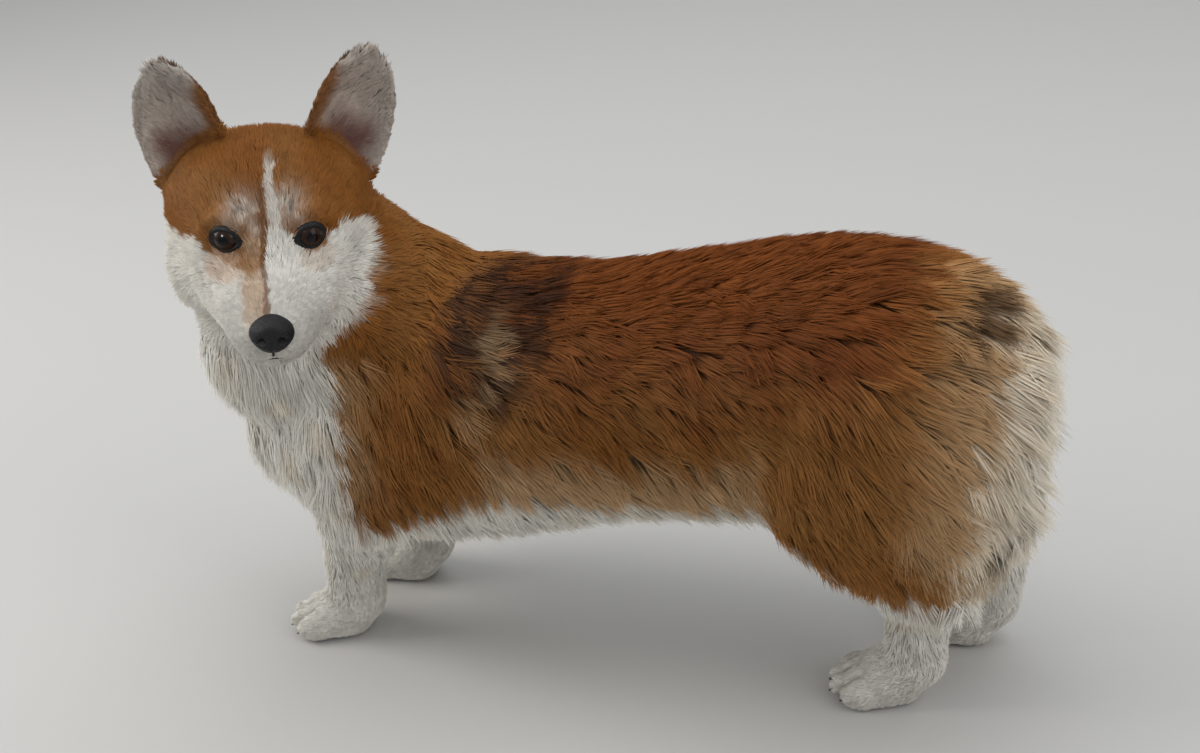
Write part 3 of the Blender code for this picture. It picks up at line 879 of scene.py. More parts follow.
# %% The hair shading group
HAIR_NUMBERS = {"Along": 0.5, "Round": 0.0, "Chance": 0.5, "Root": 0.6, "Tip": 1.1, "Streaks": 0.2}
CHANCE_SPREAD = 61.0
STREAKS_ROUND = 5.0
hair_group = bpy.data.node_groups.new("hair_shade", "ShaderNodeTree")
hair_sockets = hair_group.interface
hair_sockets.new_socket("Colour", in_out="INPUT", socket_type="NodeSocketColor")
for title, value in HAIR_NUMBERS.items():
    socket = hair_sockets.new_socket(title, in_out="INPUT", socket_type="NodeSocketFloat")
    socket.default_value = value
hair_sockets.new_socket("Colour", in_out="OUTPUT", socket_type="NodeSocketColor")
given = add_node(hair_group, "NodeGroupInput", (-900, 0)).outputs
root_shade = ranged(hair_group, given["Along"], 0.0, 0.55, given["Root"], 1.0, (-600, 200))
tip_shade = ranged(hair_group, given["Along"], 0.55, 1.0, 1.0, given["Tip"], (-600, 0))
spread = calculate(hair_group, "MULTIPLY", (-700, -250), given["Chance"], CHANCE_SPREAD)
seat = calculate(hair_group, "MULTIPLY_ADD", (-500, -250), given["Round"], STREAKS_ROUND, spread)
grain = add_node(hair_group, "ShaderNodeTexNoise", (-300, -250), noise_dimensions="1D")
grain.inputs["Scale"].default_value = 1.0
grain.inputs["Detail"].default_value = 1.0
hair_group.links.new(seat, grain.inputs["W"])
darkest = calculate(hair_group, "SUBTRACT", (-300, -450), 1.0, given["Streaks"])
palest = calculate(hair_group, "ADD", (-300, -600), 1.0, given["Streaks"])
streaks = ranged(hair_group, grain.outputs[0], 0.25, 0.75, darkest, palest, (-100, -250))
shade = calculate(hair_group, "MULTIPLY", (-300, 100), root_shade, tip_shade)
shade = calculate(hair_group, "MULTIPLY", (100, 0), shade, streaks)
shaded = scaled(hair_group, given["Colour"], shade, (350, 50))
hair_group.links.new(shaded, add_node(hair_group, "NodeGroupOutput", (700, 0)).inputs["Colour"])
print("group", hair_group.name, "with", len(hair_group.nodes), "nodes")

# %% [markdown]
# Long hair and short hair share the group, and long hair is darker at its roots and paler at its tips.
# The skin under them takes the same colours, darkened a little in a fine noise as painted shade of the
# hair over it, so that it doesn't show between two tufts.

# %% Hair and skin finishes


def hair_material(name, root, tip, streaks):
    made, tree, shader = new_material(name, 0.6, 0.10)
    coat = add_node(tree, "ShaderNodeAttribute", (-900, 200), attribute_name="coat")
    lock = add_node(tree, "ShaderNodeAttribute", (-900, -50), attribute_name="lock")
    split = add_node(tree, "ShaderNodeSeparateXYZ", (-700, -50))
    tree.links.new(lock.outputs["Vector"], split.inputs[0])
    group = add_node(tree, "ShaderNodeGroup", (-450, 100), node_tree=hair_group)
    tree.links.new(coat.outputs["Color"], group.inputs["Colour"])
    titles = ("Along", "Round", "Chance", "Root", "Tip", "Streaks")
    for title, value in zip(titles, (*split.outputs, root, tip, streaks)):
        feed(tree, group.inputs[title], value)
    tree.links.new(group.outputs["Colour"], shader.inputs["Base Color"])
    return made


long_hair = hair_material("coat_long", 0.86, 1.14, 0.16)
short_hair = hair_material("coat_short", 0.90, 1.06, 0.13)

skin_paint, tree, shader = new_material("skin_under_coat", 0.65, 0.2)
coat = add_node(tree, "ShaderNodeAttribute", (-900, 200), attribute_name="coat")
nap = pattern(tree, "ShaderNodeTexNoise", 900.0, (-900, -100))
# The skin's colour is scaled between 0.78 and 1.0 by the noise: painted shade of the hair over it.
shade = ranged(tree, nap, 0.3, 0.7, 0.78, 1.0, (-700, -100))
tinted = scaled(tree, coat.outputs["Color"], shade, (-450, 100))
tree.links.new(tinted, shader.inputs["Base Color"])
roughen(tree, shader, nap, 0.5, 0.0006)
print("finishes:", long_hair.name, short_hair.name, skin_paint.name)

# %% [markdown]
# The skin is unwrapped once. Its own map is what places every tuft's small patch in the map OFBake, so
# the colours of neighbours on the dog stay neighbours in the map.

# %% Colour and unwrap the skin


def set_colour(mesh, name, colours):
    layer = mesh.attributes.new(name, "FLOAT_COLOR", "POINT")
    full = np.ones((len(mesh.vertices), 4), np.float32)
    full[:, :3] = colours
    layer.data.foreach_set("color", full.ravel())


skin_points = vertices_of(skin.data)
skin_normals = normals_of(skin.data)
set_colour(skin.data, "coat", markings(skin_points, skin_normals))
select_only(skin)
bpy.ops.object.mode_set(mode="EDIT")
bpy.ops.mesh.select_all(action="SELECT")
bpy.ops.uv.smart_project(angle_limit=math.radians(66), island_margin=0.002)
bpy.ops.object.mode_set(mode="OBJECT")
skin.data.uv_layers.active.name = "OFBake"
skin.data.calc_loop_triangles()
corners = read(skin.data.loop_triangles, "vertices", 3, np.int32)
loops = read(skin.data.loop_triangles, "loops", 3, np.int32)
skin_uv = read(skin.data.uv_layers["OFBake"].data, "uv", 2).astype(float)
edge_a = skin_points[corners[:, 1]] - skin_points[corners[:, 0]]
edge_b = skin_points[corners[:, 2]] - skin_points[corners[:, 0]]
areas = np.linalg.norm(np.cross(edge_a, edge_b), axis=1) / 2
middles = skin_points[corners].mean(1)
print("skin:", len(corners), "triangles,", round(float(areas.sum()), 3), "square metres")

# %% [markdown]
# The eyes are glassy balls, dark brown with a black pupil, and a clear bulge over the iris catches the
# light. The ball starts as a sphere, and the bulge is pulled out of it.

# %% Eyes
IRIS = 0.62
CORNEA_BULGE = 0.0007
EYE_COLOURS = [
    (0.00, (0.001, 0.001, 0.001)), (0.30, (0.002, 0.001, 0.001)), (0.36, (0.022, 0.009, 0.005)),
    (0.56, (0.034, 0.015, 0.008)), (0.66, (0.004, 0.003, 0.002)), (0.76, (0.020, 0.015, 0.013)),
    (1.00, (0.060, 0.050, 0.045)),
]


def finished(target, title, material):
    """Names a piece, puts its place in its mesh, gives it its finish and lets it ride."""
    select_only(target)
    bpy.ops.object.transform_apply(location=True, rotation=True, scale=True)
    target.name = title
    target.data.name = title
    target.data.materials.clear()
    target.data.materials.append(material)
    bpy.ops.object.shade_smooth()
    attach(target, "root")


eye_paint, tree, shader = new_material("eye_glass", 0.4, 0.05)
shader.inputs["Coat Weight"].default_value = 1.0
shader.inputs["Coat Roughness"].default_value = 0.02
shader.inputs["Coat IOR"].default_value = 1.3
ring = add_node(tree, "ShaderNodeAttribute", (-900, 100), attribute_name="ring")
fibres = pattern(tree, "ShaderNodeTexNoise", 1400.0, (-900, -150))
waver = calculate(tree, "MULTIPLY_ADD", (-650, 100), fibres, 0.05, ring.outputs["Fac"])
iris = colour_ramp(tree, waver, EYE_COLOURS, (-450, 150))
tree.links.new(iris, shader.inputs["Base Color"])

for side, name in ((1, "left"), (-1, "right")):
    origin, rows = eye_frame(side)
    bpy.ops.mesh.primitive_uv_sphere_add(segments=48, ring_count=32, radius=1)
    ball = bpy.context.object
    local = vertices_of(ball.data)
    around = np.hypot(local[:, 0], local[:, 1])
    front = local[:, 2] > 0
    placed = local * EYE_RADIUS
    placed[:, 2] += np.where(front, ramp(around, IRIS + 0.08, 0.1), 0) * CORNEA_BULGE
    place_vertices(ball.data, placed @ rows + origin)
    layer = ball.data.attributes.new("ring", "FLOAT", "POINT")
    layer.data.foreach_set("value", np.where(front, around, 1.0).astype(np.float32))
    finished(ball, "eyeball_" + name, eye_paint)
    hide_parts("eye_" + name)
print("eyeballs are", 2000 * EYE_RADIUS, "mm wide")

# %% [markdown]
# The lids are bare black rims. Each is a ring bent round the eyeball, thicker along the top and drawn
# out into a point at the inner corner.

# %% Lids
RING_TUBE = 0.25
CORNER_LENGTH = 0.0022
CORNER_DROP = 0.0004
rim_paint, tree, shader = new_material("black_rim", 0.5, 0.25)
pores = pattern(tree, "ShaderNodeTexNoise", 1500.0, (-700, -200))
tone = ranged(tree, pores, 0.3, 0.7, 0.006, 0.020, (-500, 100))
tree.links.new(tone, shader.inputs["Base Color"])
roughen(tree, shader, pores, 0.4, 0.0003)

for side, name in ((1, "left"), (-1, "right")):
    origin, rows = eye_frame(side)
    bpy.ops.mesh.primitive_torus_add(
        major_segments=72, minor_segments=14, major_radius=1.0, minor_radius=RING_TUBE
    )
    lid = bpy.context.object
    local = vertices_of(lid.data)
    angle = np.arctan2(local[:, 1], local[:, 0])
    outward = (np.hypot(local[:, 0], local[:, 1]) - 1) / RING_TUBE
    upward = local[:, 2] / RING_TUBE
    inner = ramp(-side * np.cos(angle), 0.80, 1.0)
    top, bottom = ramp(np.sin(angle), 0.2, 0.9), ramp(-np.sin(angle), 0.3, 0.9)
    thick = LID_TUBE * (1 + 0.25 * top - 0.15 * bottom)
    across, up, out = lid_point(angle)
    swell = 1 + outward * thick / np.hypot(across, up)
    across = across * swell - side * CORNER_LENGTH * inner * (0.4 + 0.6 * outward)
    up = up * swell - CORNER_DROP * inner
    out = out + upward * thick * 0.75 + LID_PROUD - 0.0008 * outward
    place_vertices(lid.data, np.column_stack([across, up, out]) @ rows + origin)
    finished(lid, "lid_" + name, rim_paint)
print("lids are", 2000 * LID_TUBE, "mm thick")

# %% [markdown]
# The nose pad is broad and round, a little flat in front, with two comma-shaped nostrils that open to
# the sides and a groove between them that runs down to the lip. Its skin is a fine black pebble. Each
# line of the shape below pushes a unit ball in or out, and the ball is then scaled to the nose.

# %% Nose
nose_paint, tree, shader = new_material("nose_leather", 0.5, 0.35)
pebble = pattern(tree, "ShaderNodeTexVoronoi", 900.0, (-900, -100))
tone = ranged(tree, pebble, 0.0, 0.7, 0.012, 0.004, (-500, 150))
tree.links.new(tone, shader.inputs["Base Color"])
gloss = ranged(tree, pebble, 0.0, 0.7, 0.46, 0.64, (-500, -50))
tree.links.new(gloss, shader.inputs["Roughness"])
roughen(tree, shader, pebble, 0.6, 0.0004, invert=True)

bpy.ops.mesh.primitive_uv_sphere_add(segments=80, ring_count=60, radius=1)
nose = bpy.context.object
ball = vertices_of(nose.data)
bulk = ball.copy()
bulk[:, 0] *= 1 - 0.16 * ramp(ball[:, 2], 0.1, -1.0) - 0.10 * ramp(ball[:, 2], 0.4, 1.0)
bulk[:, 1] *= 1 - 0.14 * ramp(ball[:, 1], -0.7, -1.0)
aside = np.abs(ball[:, 0])
facing = ramp(-ball[:, 1], 0.1, 0.5)
nostril = np.exp(-(((aside - 0.46) / 0.15) ** 2) - ((ball[:, 2] + 0.10) / 0.17) ** 2)
wing_height = 0.25 * (aside - 0.72) - 0.20
wing = np.exp(-(((aside - 0.72) / 0.17) ** 2) - ((ball[:, 2] - wing_height) / 0.07) ** 2)
dent = np.clip(nostril + 0.8 * wing, 0, 1) * facing
groove = np.exp(-((ball[:, 0] / 0.055) ** 2)) * ramp(ball[:, 2], 0.25, -0.2) * facing
puff = np.exp(-(((aside - 0.45) / 0.30) ** 2) - ((ball[:, 2] - 0.30) / 0.35) ** 2) * facing
bulk[:, 1] += 0.34 * dent + 0.10 * groove - 0.05 * puff
bulk[:, 0] *= 1 - 0.12 * dent
place_vertices(nose.data, from_head(NOSE_MIDDLE + bulk * NOSE_HALF))
finished(nose, "nose_pad", nose_paint)
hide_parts("nose")
print("nose is", round(2000 * NOSE_HALF[0], 1), "mm wide")

# %% [markdown]
# Black lip skin shows as a thin line where the mouth closes, and as a short seam from the nose down to
# it. A fine tube follows the crease that was pressed into the skin. Its points are where rays from
# inside the muzzle leave the skin.

# %% Lips
LIP_TUBE = 0.0009
LIP_PROUD = 0.0001
LIP_TURN = math.radians(75)
MUZZLE_HEART = -0.088
RAY = 0.06
tree_of_skin = BVHTree.FromPolygons(skin_points.tolist(), corners.tolist())


def tube_on_skin(title, starts, aims):
    """A thin tube through the points where rays leave the skin."""
    hits = []
    for start, aim in zip(starts, aims):
        start = Vector(from_head([start])[0])
        aim = Vector(np.asarray(aim) @ HEAD).normalized()
        far = start + aim * RAY
        hit = tree_of_skin.ray_cast(far, -aim, RAY)[0]
        hits.append((hit if hit else far) + aim * LIP_PROUD)
    data = bpy.data.curves.new(title, "CURVE")
    data.dimensions = "3D"
    line = data.splines.new("POLY")
    line.points.add(len(hits) - 1)
    for number, (point, hit) in enumerate(zip(line.points, hits)):
        point.co = (*hit, 1)
        point.radius = 0.25 + 0.75 * math.sin(math.pi * (number + 0.5) / len(hits)) ** 0.5
    data.bevel_depth = LIP_TUBE
    data.bevel_resolution = 3
    data.use_fill_caps = True
    made = bpy.data.objects.new(title, data)
    bpy.context.scene.collection.objects.link(made)
    select_only(made)
    bpy.ops.object.convert(target="MESH")
    return bpy.context.object


turns = np.linspace(-LIP_TURN, LIP_TURN, 61)
lip_x = 0.022 * np.sin(turns)
lip_y = -0.095 - 0.02 * np.cos(turns)
starts = [(0.3 * x, MUZZLE_HEART, lip_height(x, y)) for x, y in zip(lip_x, lip_y)]
aims = [(math.sin(turn), -math.cos(turn), 0.0) for turn in turns]
lips = tube_on_skin("lip_line", starts, aims)
starts = [(0.0, MUZZLE_HEART, z) for z in np.linspace(-0.0440, -0.0510, 9)]
seam = tube_on_skin("lip_seam", starts, [(0.0, -1.0, 0.0)] * len(starts))
select_only(lips, seam)
bpy.ops.object.join()
finished(lips, "lips", rim_paint)
print("lips:", len(lips.data.polygons), "faces")

# %% [markdown]
# The claws are the solids themselves. They only get a finish: dark horn, paler in streaks.

# %% Claws
HORN_COLOURS = [(0.35, (0.018, 0.014, 0.013)), (0.65, (0.075, 0.055, 0.045))]
claw_paint, tree, shader = new_material("claw_horn", 0.4, 0.5)
horn = pattern(tree, "ShaderNodeTexNoise", 500.0, (-700, 0))
horn = colour_ramp(tree, horn, HORN_COLOURS, (-450, 0))
tree.links.new(horn, shader.inputs["Base Color"])
claws = [n for n in nodes if n.startswith("claw")]
for name in claws:
    nodes[name].data.materials.clear()
    nodes[name].data.materials.append(claw_paint)
print("claws:", len(claws))

# %% [markdown]
# The skin is finished too. It takes its name and stands in for the flesh and the ears.

# %% Hand the skin over
finished(skin, "skin", skin_paint)
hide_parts(*FLESH, *EARS)
print("the skin replaces", len(FLESH) + len(EARS), "solids")

# %% [markdown]
# The hair lies in streams. On the face they run back from the nose, on the neck and chest they fall,
# on the back and flanks they run to the rear and droop more the lower they are, on the thighs they fan
# down and back, and on the ears they run out from the crown side. Each stream is a direction at every
# place, and the surface flattens it.

# %% The lie of the coat
# By height, how many degrees the hair droops on the flank, the thigh and the rump.
FLANK_DROOP = ((0.155, 54), (0.20, 40), (0.25, 22), (0.285, 8))
THIGH_DROOP = ((0.12, 72), (0.20, 56), (0.25, 34), (0.285, 14))
RUMP_DROOP = ((0.12, 62), (0.20, 46), (0.27, 30))
NECK_DROOP, CHEST_DROOP, LEG_DROOP = 66, 82, 84
MUZZLE_START = np.array([0.0, -0.135, -0.030])
TOE_RUN = np.array([0.0, -1.0, -0.35])


def unit(vectors):
    return vectors / np.maximum(np.linalg.norm(vectors, axis=-1, keepdims=True), 1e-9)


def body_run(points):
    x, y, z = points.T
    slope = mix(stops(z, *FLANK_DROOP), NECK_DROOP, ramp(y, -0.06, -0.14))
    slope = mix(slope, CHEST_DROOP, ramp(y, -0.15, -0.20))
    slope = mix(slope, stops(z, *THIGH_DROOP), ramp(y, 0.09, 0.13))
    slope = mix(slope, stops(z, *RUMP_DROOP), ramp(y, 0.19, 0.235))
    slope = mix(slope, LEG_DROOP, leg_share(points))
    slope = np.radians(slope + 9 * ripple(points, 0.055, 31))
    spread = np.sign(x - MEDIAN) * mix(0.05, 0.25, ramp(y, 0.22, 0.26))
    run = np.column_stack([spread, np.cos(slope), -np.sin(slope)])
    return layered(run, (TOE_RUN, ramp(z, 0.040, 0.026)))


def head_run(at):
    run = unit(at - MUZZLE_START)
    droop = ramp(at[:, 2], 0.0, -0.05) * ramp(np.abs(at[:, 0]), 0.02, 0.05)
    run[:, 2] -= 0.95 * droop + 0.5 * ramp(at[:, 1], 0.0, 0.04)
    run[:, 0] += 0.25 * np.sign(at[:, 0]) * droop
    return run @ HEAD


def ear_run(points, normals, side):
    up = ear_place(points)[0]
    inside = ear_inside(normals)
    outward = side * ((0.85 - 0.5 * up) * inside + 0.1)
    upward = 0.45 + 0.55 * up + 0.4 * (1 - inside)
    return np.column_stack([outward, up * 0, upward]) @ HEAD


def flow(points, normals):
    """The way the hair runs at each point, along the surface."""
    at = to_head(points)
    run = layered(
        body_run(points),
        (head_run(at), head_share(points)),
        (ear_run(points, normals, np.sign(at[:, 0])), ear_share(points)),
    )
    return unit(run - normals * (run * normals).sum(1)[:, None])


print("the back's hair runs", flow(np.array([[0.0, 0.1, 0.29]]), np.array([[0.0, 0.0, 1.0]])).round(2))

# %% [markdown]
# How long and how wide the tufts are, and how strongly they gather into locks, also depends on place.
# They are smallest on the muzzle and the feet and longest on the rump.

# %% Length, width and clumping of the tufts
# Both run back along the head, from the nose.
FACE_LENGTH = (
    (-0.125, 0.0032), (-0.095, 0.0042), (-0.070, 0.0060),
    (-0.045, 0.0075), (0.0, 0.0105), (0.04, 0.016),
)
HEAD_WIDTH = ((-0.12, 0.00070), (-0.06, 0.00078), (0.0, 0.00085), (0.04, 0.0010))


def near_ear(x, y, z):
    """1 along the roots of the ears, where the hair is short."""
    aside = np.abs(x)
    border = 0.052 - 0.7 * np.maximum(aside - 0.0235, 0)
    share = ramp(np.abs(z - border), 0.020, 0.008) * ramp(aside, 0.018, 0.026)
    return share * ramp(y, -0.02, -0.005) * ramp(z, -0.005, 0.008)


def head_hair_length(points):
    x, y, z = to_head(points).T
    ruff = ramp(np.abs(x), 0.038, 0.058) * ramp(z, 0.006, -0.022)
    under = ramp(z, -0.050, -0.064) * ramp(y, -0.090, -0.065)
    return mix(stops(y, *FACE_LENGTH), 0.0135, np.maximum(ruff, under))


def body_hair_length(points):
    _, y, z = points.T
    body = mix(0.031, 0.026, ramp(z, 0.26, 0.29))
    body = mix(body, 0.034, ramp(y, -0.10, -0.17) * ramp(z, 0.13, 0.16))
    body = mix(body, 0.036, ramp(y, 0.12, 0.17) * ramp(z, 0.12, 0.15))
    body = mix(body, 0.046, ramp(y, 0.20, 0.25) * ramp(z, 0.29, 0.26) * ramp(z, 0.09, 0.12))
    return mix(body, mix(0.0125, 0.0046, ramp(z, 0.078, 0.030)), leg_share(points))


def tuft_length(points):
    on_head = head_share(points)
    length = mix(body_hair_length(points), head_hair_length(points), on_head)
    length = mix(length, 0.0052, near_ear(*to_head(points).T) * on_head)
    inner = ramp(np.abs(ear_place(points)[1]), 0.95, 0.6)
    return mix(length, 0.0034 + 0.0050 * inner, ear_share(points))


def tuft_width(points):
    head = stops(to_head(points)[:, 1], *HEAD_WIDTH)
    body = mix(0.00135, 0.00095, leg_share(points))
    body = mix(body, 0.00125, ramp(points[:, 1], -0.11, -0.15) * ramp(points[:, 2], 0.12, 0.15))
    width = mix(body, head, head_share(points))
    return mix(width, 0.00075, ear_share(points))


def gather(points):
    """How far the tips of a lock draw together, from 0 to 1."""
    _, y, z = points.T
    back = ramp(z, 0.20, 0.26) * ramp(y, -0.09, 0.0) * ramp(y, 0.26, 0.22)
    body = 0.24 + 0.18 * back - 0.10 * leg_share(points)
    return mix(body, 0.08, head_share(points))


def bare(points):
    """Where no hair grows: the eyes, the nose, the lip line and the soles."""
    share = ramp(points[:, 2], 0.0045, 0.0025)
    for side in (1, -1):
        origin, rows = eye_frame(side)
        across, up, out = ((points - origin) @ rows.T).T
        reach = np.hypot(across / (LID_WIDTH + 0.0012), up / (LID_HEIGHT + 0.0012))
        share = np.maximum(share, (reach < 1.0) * (out > -0.004))
    share = np.maximum(share, nose_reach(points, 1.03) < 1.0)
    at = to_head(points)
    mouth = np.abs(at[:, 2] - lip_height(at[:, 0], at[:, 1])) < 0.0013
    return np.maximum(share, mouth * (at[:, 1] < MUZZLE_HEART) * head_share(points))


print("length on the rump in mm:", (tuft_length(np.array([[0.0, 0.26, 0.2]])) * 1000).round(1))

# %% [markdown]
# A tuft is a closed spindle of six faces: a point at the root, three corners near the middle, and a
# point at the tip. Three faces run from the root to the middle and three from there to the tip. Every
# tuft uses this list of faces and this patch of the map.

# %% The spindle
MIDDLE = 0.45
PATCH = 0.003
CORNERS = 5
SPINDLE, SPINDLE_MAP = [], []
for k in range(3):
    near, far = 1 + k, 1 + (k + 1) % 3
    left, right, between = k / 3, (k + 1) / 3, (k + 0.5) / 3
    SPINDLE += [(0, far, near), (near, far, 4)]
    SPINDLE_MAP.append(((between, 0.0), (right, MIDDLE), (left, MIDDLE)))
    SPINDLE_MAP.append(((left, MIDDLE), (right, MIDDLE), (between, 1.0)))
SPINDLE = np.array(SPINDLE)
SPINDLE_MAP = (np.array(SPINDLE_MAP) - 0.5) * PATCH
print("faces of a spindle:", SPINDLE.tolist())

# %% [markdown]
# Tens of thousands of tufts are laid out at once as arrays of numbers, which is quicker than adding
# them one by one. Roots are scattered over the skin by area. Each tuft follows a spine that lifts off
# the skin and lies down toward its tip. Roots near each other follow one leader, which makes locks.

# %% Roots, locks and spines
# A spine leaves the skin at STEEPEST times its mean lift and ends at FLATTEST times it. A tuft is
# thinner than it is wide.
STEEPEST, FLATTEST = 1.7, 0.3
BOW_TURN = 1.3 * math.pi
THICKNESS = 0.275


def scatter(rng, chosen, density):
    """Roots on the chosen triangles of the skin, with their triangle and their place in it."""
    weight = areas * density * chosen
    total = weight.sum()
    count = int(total)
    marks_at = (np.arange(count) + rng.random(count)) / count * total
    picked = np.minimum(np.searchsorted(np.cumsum(weight), marks_at), len(areas) - 1)
    first, second = rng.random(count), rng.random(count)
    over = first + second > 1
    first, second = np.where(over, 1 - first, first), np.where(over, 1 - second, second)
    return picked, np.column_stack([1 - first - second, first, second])


def blend_corners(values, weights):
    return (values * weights[:, :, None]).sum(1)


def locks_of(roots, clump_size, area):
    """The roots that lead a lock, and for every root the number of the nearest leader."""
    step = int(len(roots) * clump_size**2 / area) + 1
    leaders = np.arange(0, len(roots), step)
    finder = kdtree.KDTree(len(leaders))
    for number, leader in enumerate(leaders):
        finder.insert(roots[leader], number)
    finder.balance()
    return leaders, np.array([finder.find(root)[1] for root in roots])


def spine(roots, normals, runs, lengths, rises, bow):
    """Root, middle and tip of each tuft."""
    aside = np.cross(normals, runs)
    line = [roots]
    for near, far in ((0.0, MIDDLE), (MIDDLE, 1.0)):
        between = (near + far) / 2
        lift = rises * mix(STEEPEST, FLATTEST, between)
        step = runs * np.cos(lift)[:, None] + normals * np.sin(lift)[:, None]
        step = step + aside * (bow * np.cos(BOW_TURN * between))[:, None]
        line.append(line[-1] + step * (lengths * (far - near))[:, None])
    return line


def spindles(line, normals, runs, widths):
    """The five corners of every tuft."""
    aside = np.cross(normals, runs) * widths[:, None] / 2
    thick = normals * widths[:, None] * THICKNESS
    under = line[1] - 0.4 * thick
    return np.stack([line[0], line[1] + thick, under - aside, under + aside, line[2]], axis=1)


print("lift along a tuft:", [mix(STEEPEST, FLATTEST, share) for share in (0.0, 0.5, 1.0)])

# %% [markdown]
# A region becomes one mesh. It carries the colour at each root, the numbers the shader group reads and
# a patch of the map. Its normals lean toward the skin's, so that a lock is lit as one soft thing and
# not as splinters, and on the underside of a tuft they point down and out.

# %% A mesh of tufts
ROUNDNESS = 0.5
OUTWARD = np.array([1, 1, -1, -1, 1, 1])[None, :, None, None]


def mesh_of(title, block):
    count = len(block)
    triangles = (SPINDLE + np.arange(count)[:, None, None] * CORNERS).reshape(-1, 3)
    mesh = bpy.data.meshes.new(title)
    mesh.vertices.add(count * CORNERS)
    mesh.vertices.foreach_set("co", block.astype(np.float32).ravel())
    mesh.loops.add(triangles.size)
    mesh.loops.foreach_set("vertex_index", triangles.astype(np.int32).ravel())
    mesh.polygons.add(len(triangles))
    mesh.polygons.foreach_set("loop_start", np.arange(0, triangles.size, 3, dtype=np.int32))
    mesh.polygons.foreach_set("use_smooth", np.ones(len(triangles), bool))
    mesh.update(calc_edges=True)
    return mesh


def dress(mesh, colour, chance, maps):
    """Gives the tufts their colours, the numbers for the shader group and their map."""
    set_colour(mesh, "coat", np.repeat(colour, CORNERS, axis=0))
    lock = np.empty((len(chance), CORNERS, 3))
    lock[:, :, 0] = [0.0, MIDDLE, MIDDLE, MIDDLE, 1.0]
    lock[:, :, 1] = [0.5, 0.0, 0.5, 1.0, 0.5]
    lock[:, :, 2] = chance[:, None]
    set_colour(mesh, "lock", lock.reshape(-1, 3))
    layer = mesh.uv_layers.new(name="OFBake")
    patch = (maps[:, None, None, :] + SPINDLE_MAP).reshape(-1, 2)
    layer.data.foreach_set("uv", np.clip(patch, 0.0, 1.0).astype(np.float32).ravel())


def soften(mesh, block, middle, normals):
    away = block - middle[:, None, :]
    away[:, [0, 4]] = 0
    soft = normals[:, None, None, :] * OUTWARD + ROUNDNESS * unit(away)[:, SPINDLE]
    mesh.normals_split_custom_set(unit(soft.reshape(-1, 3)).astype(np.float32))


print("mesh makers ready")

# %% [markdown]
# Now the parts come together. Every draw comes from one seeded generator per region, so the same coat
# grows each time.

# %% Growing a region
THINNEST_COAT = 0.0009
LONG_HAIR = 0.014
ROOT_SINK = 0.0004
FLOOR_GAP = 0.0003
SAME_SIDE = 0.6
LOCK_REACH = 2.2
TIP_PULL = 1.15


def grow(title, chosen, layers, clump_size, slot_name, seed):
    rng = np.random.default_rng(seed)
    size = tuft_length(middles) * tuft_width(middles)
    picked, weights = scatter(rng, chosen, layers * 2 / size * (1 - bare(middles)))
    roots = blend_corners(skin_points[corners[picked]], weights)
    keep = bare(roots) < 0.5
    picked, weights, roots = picked[keep], weights[keep], roots[keep]
    normals = unit(blend_corners(skin_normals[corners[picked]], weights))
    maps = blend_corners(skin_uv[loops[picked]], weights)
    count = len(roots)
    full_lengths = tuft_length(roots)
    lengths = full_lengths * rng.uniform(0.78, 1.14, count)
    widths = tuft_width(roots) * rng.uniform(0.75, 1.25, count)
    rises = np.clip(np.maximum(coat_depth(roots), THINNEST_COAT) / full_lengths, 0.05, 0.6)
    rises = np.arcsin(rises) * rng.uniform(0.8, 1.15, count)

    leaders, member = locks_of(roots, clump_size, float((areas * chosen).sum()))
    lock_yaw = rng.normal(0, 0.16, len(leaders)) + 0.22 * ripple(roots[leaders], 0.03, seed + 1)
    lock_bow = rng.normal(0, 0.10, len(leaders))
    lock_tone = rng.normal(1.0, 0.075, len(leaders))
    yaw = lock_yaw[member] + rng.normal(0, 0.07, count)
    runs = flow(roots, normals)
    aside = np.cross(normals, runs)
    runs = unit(runs * np.cos(yaw)[:, None] + aside * np.sin(yaw)[:, None])
    bow = lock_bow[member] * ramp(lengths, 0.008, 0.02)
    line = spine(roots - normals * ROOT_SINK, normals, runs, lengths, rises, bow)

    leader = leaders[member]
    pull = gather(roots) * rng.uniform(0.7, 1.1, count)
    pull = pull * ((normals * normals[leader]).sum(1) > SAME_SIDE)
    pull = pull * (np.linalg.norm(roots - roots[leader], axis=1) < LOCK_REACH * clump_size)
    for number, stage in ((1, MIDDLE), (2, 1.0)):
        toward = line[number][leader] - line[number]
        line[number] = line[number] + toward * (pull * stage**TIP_PULL)[:, None]
    for stage in line:
        stage[:, 2] = np.maximum(stage[:, 2], FLOOR_GAP)

    block = spindles(line, normals, runs, widths)
    mesh = mesh_of(title, block)
    tone = lock_tone[member] * rng.normal(1.0, 0.05, count)
    colour = np.clip(markings(roots, normals) * tone[:, None], 0, 0.9)
    dress(mesh, colour, rng.random(count), maps)
    soften(mesh, block, line[1], normals)
    mesh.materials.append(long_hair if full_lengths.mean() > LONG_HAIR else short_hair)
    made = bpy.data.objects.new(title, mesh)
    bpy.context.scene.collection.objects.link(made)
    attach(made, "root")
    triangles = len(mesh.polygons)
    print(f"{title}: {count} tufts, {triangles} triangles")
    return triangles


# %% [markdown]
# The coat is grown region by region, so that no piece is too heavy. A region is a rule about place,
# and every triangle of the skin falls in exactly one. Its two numbers are how many layers of hair lie
# over the skin and how far apart the locks are.

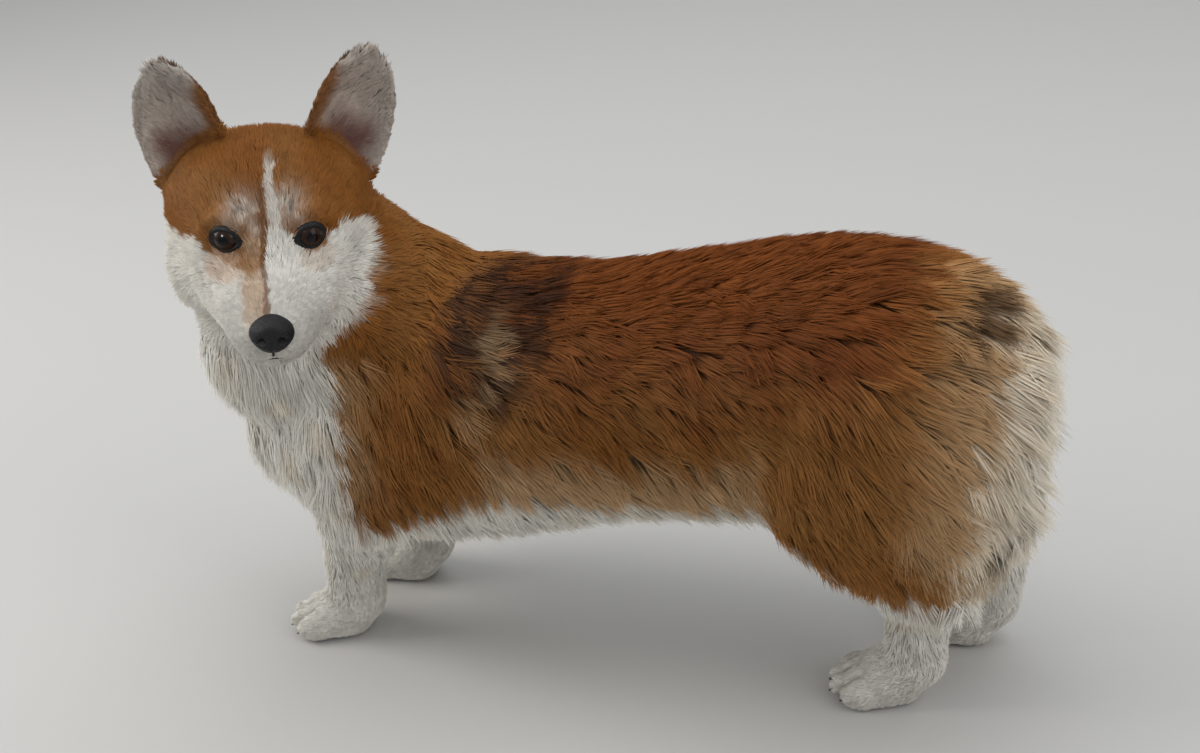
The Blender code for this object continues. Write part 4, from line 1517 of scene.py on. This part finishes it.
# %% The whole coat
at_head = to_head(middles)
on_head = head_share(middles) > 0.5
on_ear = (ear_share(middles) > 0.5) & on_head
on_leg = (leg_share(middles) > 0.5) & ~on_head
fore_half = middles[:, 1] < 0
left_half = middles[:, 0] > MEDIAN
on_face = on_head & ~on_ear & (at_head[:, 1] < -0.030) & (tuft_length(middles) < 0.0115)
on_crown = on_head & ~on_ear & ~on_face
on_body = ~on_head & ~on_leg
on_neck = on_body & (middles[:, 1] < -0.10)
on_rump = on_body & (middles[:, 1] > 0.205)
on_barrel = on_body & ~on_neck & ~on_rump
on_back = on_barrel & (middles[:, 2] > 0.262)
on_flank = on_barrel & ~on_back & (middles[:, 1] < 0.09)
on_thigh = on_barrel & ~on_back & ~on_flank
REGIONS = [
    ("coat_face_left", on_face & (at_head[:, 0] > 0), 4.4, 0.003, "coat_white"),
    ("coat_face_right", on_face & (at_head[:, 0] <= 0), 4.4, 0.003, "coat_white"),
    ("coat_crown", on_crown & (at_head[:, 2] > -0.01), 5.0, 0.004, "coat_fawn"),
    ("coat_ruff", on_crown & (at_head[:, 2] <= -0.01), 6.5, 0.005, "coat_white"),
    ("coat_ears", on_ear, 3.7, 0.003, "ear"),
    ("coat_forelegs", on_leg & fore_half, 2.1, 0.004, "coat_white"),
    ("coat_hindlegs", on_leg & ~fore_half, 2.1, 0.004, "coat_white"),
    ("coat_neck_left", on_neck & left_half, 10.5, 0.007, "coat_fawn"),
    ("coat_neck_right", on_neck & ~left_half, 9.5, 0.007, "coat_white"),
    ("coat_back", on_back, 10.5, 0.009, "coat_fawn"),
    ("coat_flank_left", on_flank & left_half, 9.5, 0.007, "coat_fawn"),
    ("coat_flank_right", on_flank & ~left_half, 8.5, 0.007, "coat_fawn"),
    ("coat_thigh_left", on_thigh & left_half, 10.0, 0.007, "coat_fawn"),
    ("coat_thigh_right", on_thigh & ~left_half, 8.5, 0.007, "coat_fawn"),
    ("coat_rump", on_rump, 11.5, 0.007, "coat_white"),
]
FIRST_SEED = 100
coat_total = sum(grow(*region, FIRST_SEED + number) for number, region in enumerate(REGIONS))
print("coat:", coat_total, "triangles; skin:", len(corners))
